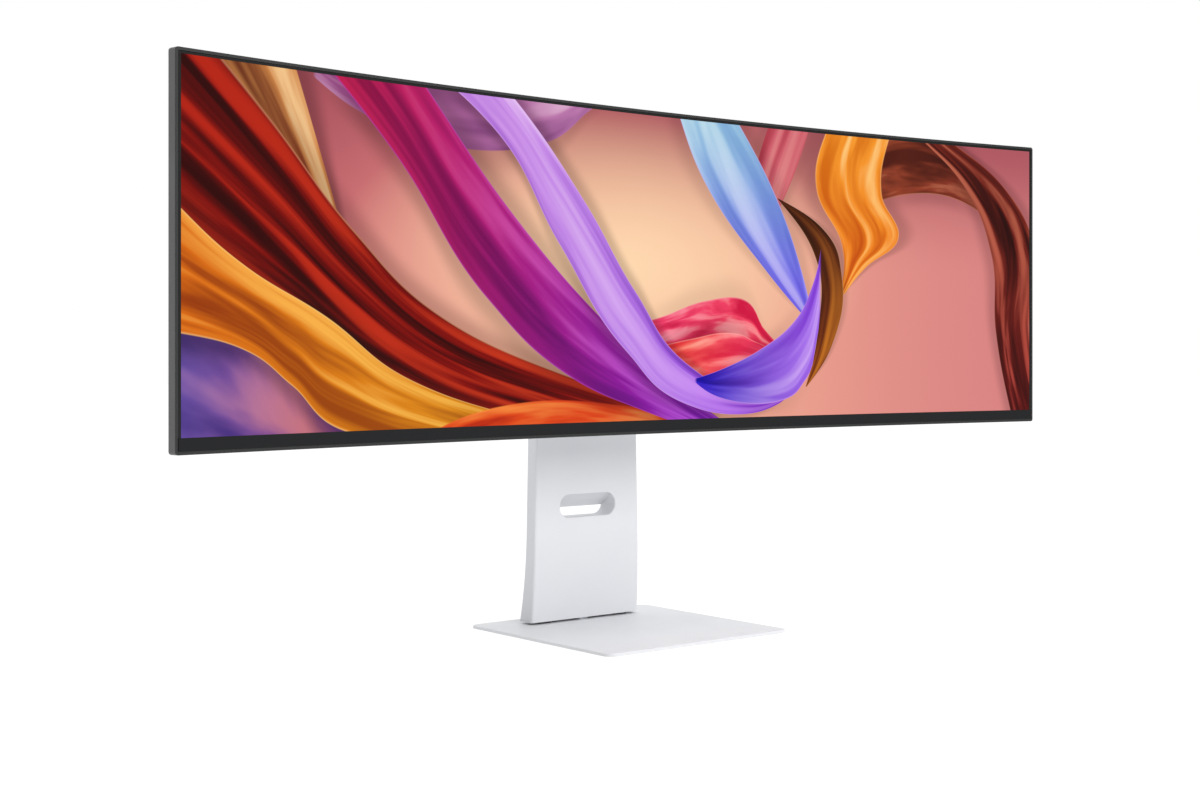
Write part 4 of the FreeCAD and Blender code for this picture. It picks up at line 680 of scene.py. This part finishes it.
# %% Feet and joystick cap
def turned(shape, centre, outline, steps=48, ribs=0, rib_depth=0.0):
    """Adds a body of revolution: (radius, height, ribbed) points from the lower to the upper end."""
    rings = []
    for radius, height, ribbed in outline:
        ring = []
        for step in range(steps):
            angle = 2 * math.pi * step / steps
            wave = rib_depth * (0.5 + 0.5 * math.cos(ribs * angle)) if ribbed else 0.0
            place = Vector(((radius - wave) * math.cos(angle), (radius - wave) * math.sin(angle), height))
            ring.append(shape.verts.new(centre + place))
        rings.append(ring)
    for ring, following in zip(rings, rings[1:]):
        for step in range(steps):
            after = (step + 1) % steps
            shape.faces.new((ring[step], ring[after], following[after], following[step]))
    shape.faces.new(rings[0])
    shape.faces.new(rings[-1])


def moulded_feet(radius=9 * MM):
    """Pads at the corners, the middles of the sides and the front middle of the CAD feet's box, each with a
    hollow in its underside.
    """
    low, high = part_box("base_feet")
    tall = high.z - low.z
    left, right = low.x + radius, high.x - radius
    front, back = low.y + radius, high.y - radius
    places = [(x, y) for x in (left, right) for y in (front, (front + back) / 2, back)] + [(0, front)]
    hollow = radius * 0.62
    outline = [(hollow - 1.2 * MM, 0.35 * MM), (hollow - 0.4 * MM, 0.35 * MM), (hollow, 0.0),
               (radius - 0.4 * MM, 0.0), (radius, 0.3 * MM), (radius, 0.55 * MM),
               (radius - 0.5 * MM, 0.7 * MM), (radius - 0.5 * MM, tall)]
    shape = bmesh.new()
    for x, y in places:
        turned(shape, Vector((x, y, low.z)), [(r, z, False) for r, z in outline])
    return shape


def joystick_cap():
    low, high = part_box("joystick_knob")
    radius = (high.x - low.x) / 2
    tall = high.z - low.z
    centre = Vector(((low.x + high.x) / 2, (low.y + high.y) / 2, low.z))
    outline = [(0.6 * MM, 0.7 * MM, False), (radius * 0.45, 0.5 * MM, False),
               (radius * 0.72, 0.05 * MM, False), (radius * 0.8, 0.0, False),
               (radius * 0.93, 0.3 * MM, False), (radius, 1.1 * MM, True), (radius, tall - 1.0 * MM, True),
               (radius * 0.94, tall - 0.3 * MM, False), (radius * 0.86, tall, False),
               (2.2 * MM, tall, False)]
    shape = bmesh.new()
    turned(shape, centre, outline, steps=192, ribs=24, rib_depth=0.35 * MM)
    return shape


piece("moulded_feet", moulded_feet(), "base", rubber, ["base_feet"])
piece("joystick_cap", joystick_cap(), "knob", black_abs, ["joystick_knob"])

# %% [markdown]
# ## Inside the sockets
#
# A socket is a folded metal shell round a plastic tongue, and the tongue carries a row of gilded
# contacts. The CAD model has shell and tongue in one piece of metal. A plastic sleeve over each
# tongue and thin gold bars on it make them read as sockets. USB type A is traditionally blue inside.

# %% Tongues, contacts and blades
def block(shape, low, high, chamfer):
    """Adds a box with chamfered edges."""
    made = bmesh.ops.create_cube(shape, size=1.0)["verts"]
    for vert in made:
        vert.co = Vector(tuple(low[i] + (vert.co[i] + 0.5) * (high[i] - low[i]) for i in range(3)))
    edges = list({edge for vert in made for edge in vert.link_edges})
    bmesh.ops.bevel(shape, geom=edges, offset=chamfer, segments=2, affect="EDGES")


# node, middles along x, half width, lowest and highest z of the tongue from the middle, contacts
TONGUES = [
    ("hdmi_sockets", (116, 140), 5.6, 0.2, 1.2, 9),
    ("display_port_socket", (164,), 6.4, 0.4, 1.5, 10),
    ("usb_c_socket", (184,), 3.3, -0.35, 0.35, 8),
    ("usb_a_sockets", (204, 224), 5.4, 0.5, 2.2, 4),
]
blue_pbt = finish("blue_moulded_pbt", grained("#1d4fa8", "#1a489b", 0.8, 0.45, bump=0.06, IOR=1.55))
SKIN = 0.12 * MM
CONTACT_T = 0.12 * MM
# how far inside the socket's mouth a tongue has its root and its tip
TONGUE_ROOT = 12.6 * MM
TONGUE_TIP = 1.85 * MM


def tongue_shapes(node, middles, half, low_z, high_z, contacts):
    """Sleeves over a socket's tongues, and the contacts on their lower faces."""
    low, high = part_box(node)
    centre_z = (low.z + high.z) / 2
    y = (high.y - TONGUE_ROOT, high.y - TONGUE_TIP)
    sleeves, bars = bmesh.new(), bmesh.new()
    for middle in middles:
        x = middle * MM
        wide = half * MM + SKIN
        bottom = centre_z + low_z * MM - SKIN
        block(sleeves, (x - wide, y[0], bottom), (x + wide, y[1], centre_z + high_z * MM + SKIN), 0.1 * MM)
        pitch = 2 * half * MM / contacts
        for index in range(contacts):
            bar = x - half * MM + pitch * (index + 0.5)
            block(bars, (bar - 0.28 * pitch, y[0], bottom - CONTACT_T),
                  (bar + 0.28 * pitch, y[1] - 0.8 * MM, bottom + SKIN / 2), 0.03 * MM)
    return sleeves, bars


for entry in TONGUES:
    sleeves, bars = tongue_shapes(*entry)
    moulding = blue_pbt if entry[0] == "usb_a_sockets" else black_abs
    piece(entry[0] + "_tongue", sleeves, "display", moulding)
    piece(entry[0] + "_contacts", bars, "display", gold)


def mains_blades():
    """The inlet's three blades, with their tips rounded so that the plug finds them."""
    low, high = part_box("inlet_blades")
    wide, tall = 2 * MM, 4 * MM
    shape = bmesh.new()
    for x, z in ((low.x, low.z), (high.x - wide, low.z), ((low.x + high.x - wide) / 2, high.z - tall)):
        block(shape, (x, low.y, z), (x + wide, high.y, z + tall), 0.7 * MM)
    return shape


piece("mains_blades", mains_blades(), "display", nickel, ["inlet_blades"])

# %% [markdown]
# ## Light, floor and camera
#
# A product like this is shot in a white tent: a bright wall behind it, a dimmer one in front, one
# large soft box above and one in front, and a paper sweep that runs out to pure white. The world
# gives the tent as a gradient of directions, and two area lamps give the soft boxes. The floor gets
# its white by glowing, over a grey that throws little light up, so that edges keep their shape.

# %% Studio
def lamp(name, place, aim, size, power):
    light = bpy.data.lights.new(name, "AREA")
    light.shape = "RECTANGLE"
    light.size, light.size_y = size
    light.energy = power
    holder = bpy.data.objects.new(name, light)
    holder.location = place
    holder.rotation_euler = (Vector(aim) - Vector(place)).to_track_quat("-Z", "Y").to_euler()
    bpy.context.scene.collection.objects.link(holder)


def paper(tree):
    """Matt paper, without gloss, so that the floor doesn't mirror the monitor."""
    place = add(tree, "TexCoord").outputs["Object"]
    fibres = add(tree, "TexNoise", {"Vector": place, "Scale": 1 / (3 * MM), "Detail": 3.0})
    tone = add(tree, "Mix", {"Factor": fibres, "A": linear("#565656"), "B": linear("#5a5a5a")},
               data_type="RGBA")
    return add(tree, "BsdfPrincipled", {"Base Color": tone, "Roughness": 0.9, "Emission Strength": 0.95,
                                        "Emission Color": linear("#ffffff"), "Specular IOR Level": 0.2})


def sweep(reach=14.0):
    shape = bmesh.new()
    bmesh.ops.create_grid(shape, x_segments=4, y_segments=4, size=reach)
    mesh = bpy.data.meshes.new("paper_sweep")
    shape.to_mesh(mesh)
    shape.free()
    mesh.materials.append(finish("white_paper_sweep", paper))
    floor = bpy.data.objects.new("paper_sweep", mesh)
    bpy.context.scene.collection.objects.link(floor)


sweep()
world = bpy.data.worlds.new("white_tent")
bpy.context.scene.world = world
world.use_nodes = True
direction = add(world.node_tree, "TexCoord").outputs["Generated"]
towards_back = add(world.node_tree, "Mapping", {"Vector": direction, "Location": (0.45, 0, 0),
                                                "Rotation": (0, 0, math.radians(-51))})
depth = add(world.node_tree, "TexGradient", {"Vector": towards_back}, gradient_type="EASING").outputs["Fac"]
walls = add(world.node_tree, "ValToRGB", {"Fac": depth}, stops=["#959595", "#ffffff", "#ffffff"])
world.node_tree.links.new(walls.outputs["Color"], world.node_tree.nodes["Background"].inputs["Color"])
lamp("soft_box_above", (0.5, -0.5, 2.6), (0, 0, 0.2), (2.4, 1.8), 20)
lamp("soft_box_front", (0.0, -2.7, 1.5), (0, 0, 0.2), (2.2, 1.6), 52)
bpy.context.scene.view_settings.view_transform = "Standard"

# %% [markdown]
# The camera stands level, left of the screen's middle and a little below it. It keeps upright lines
# upright: it doesn't tip down to the base, but its frame is shifted down instead, as with a view
# camera on an architect's tripod.

# %% Camera
camera = bpy.data.objects.new("camera", bpy.data.cameras.new("camera"))
camera.location = (-1272.5 * MM, -1519.8 * MM, 316.9 * MM)
camera.rotation_euler = (math.radians(90), 0, math.radians(-39.023))
camera.data.sensor_width = 36
camera.data.lens = 52.317
camera.data.shift_y = -0.0388
camera.data.clip_end = 60
bpy.context.scene.collection.objects.link(camera)
bpy.context.scene.camera = camera
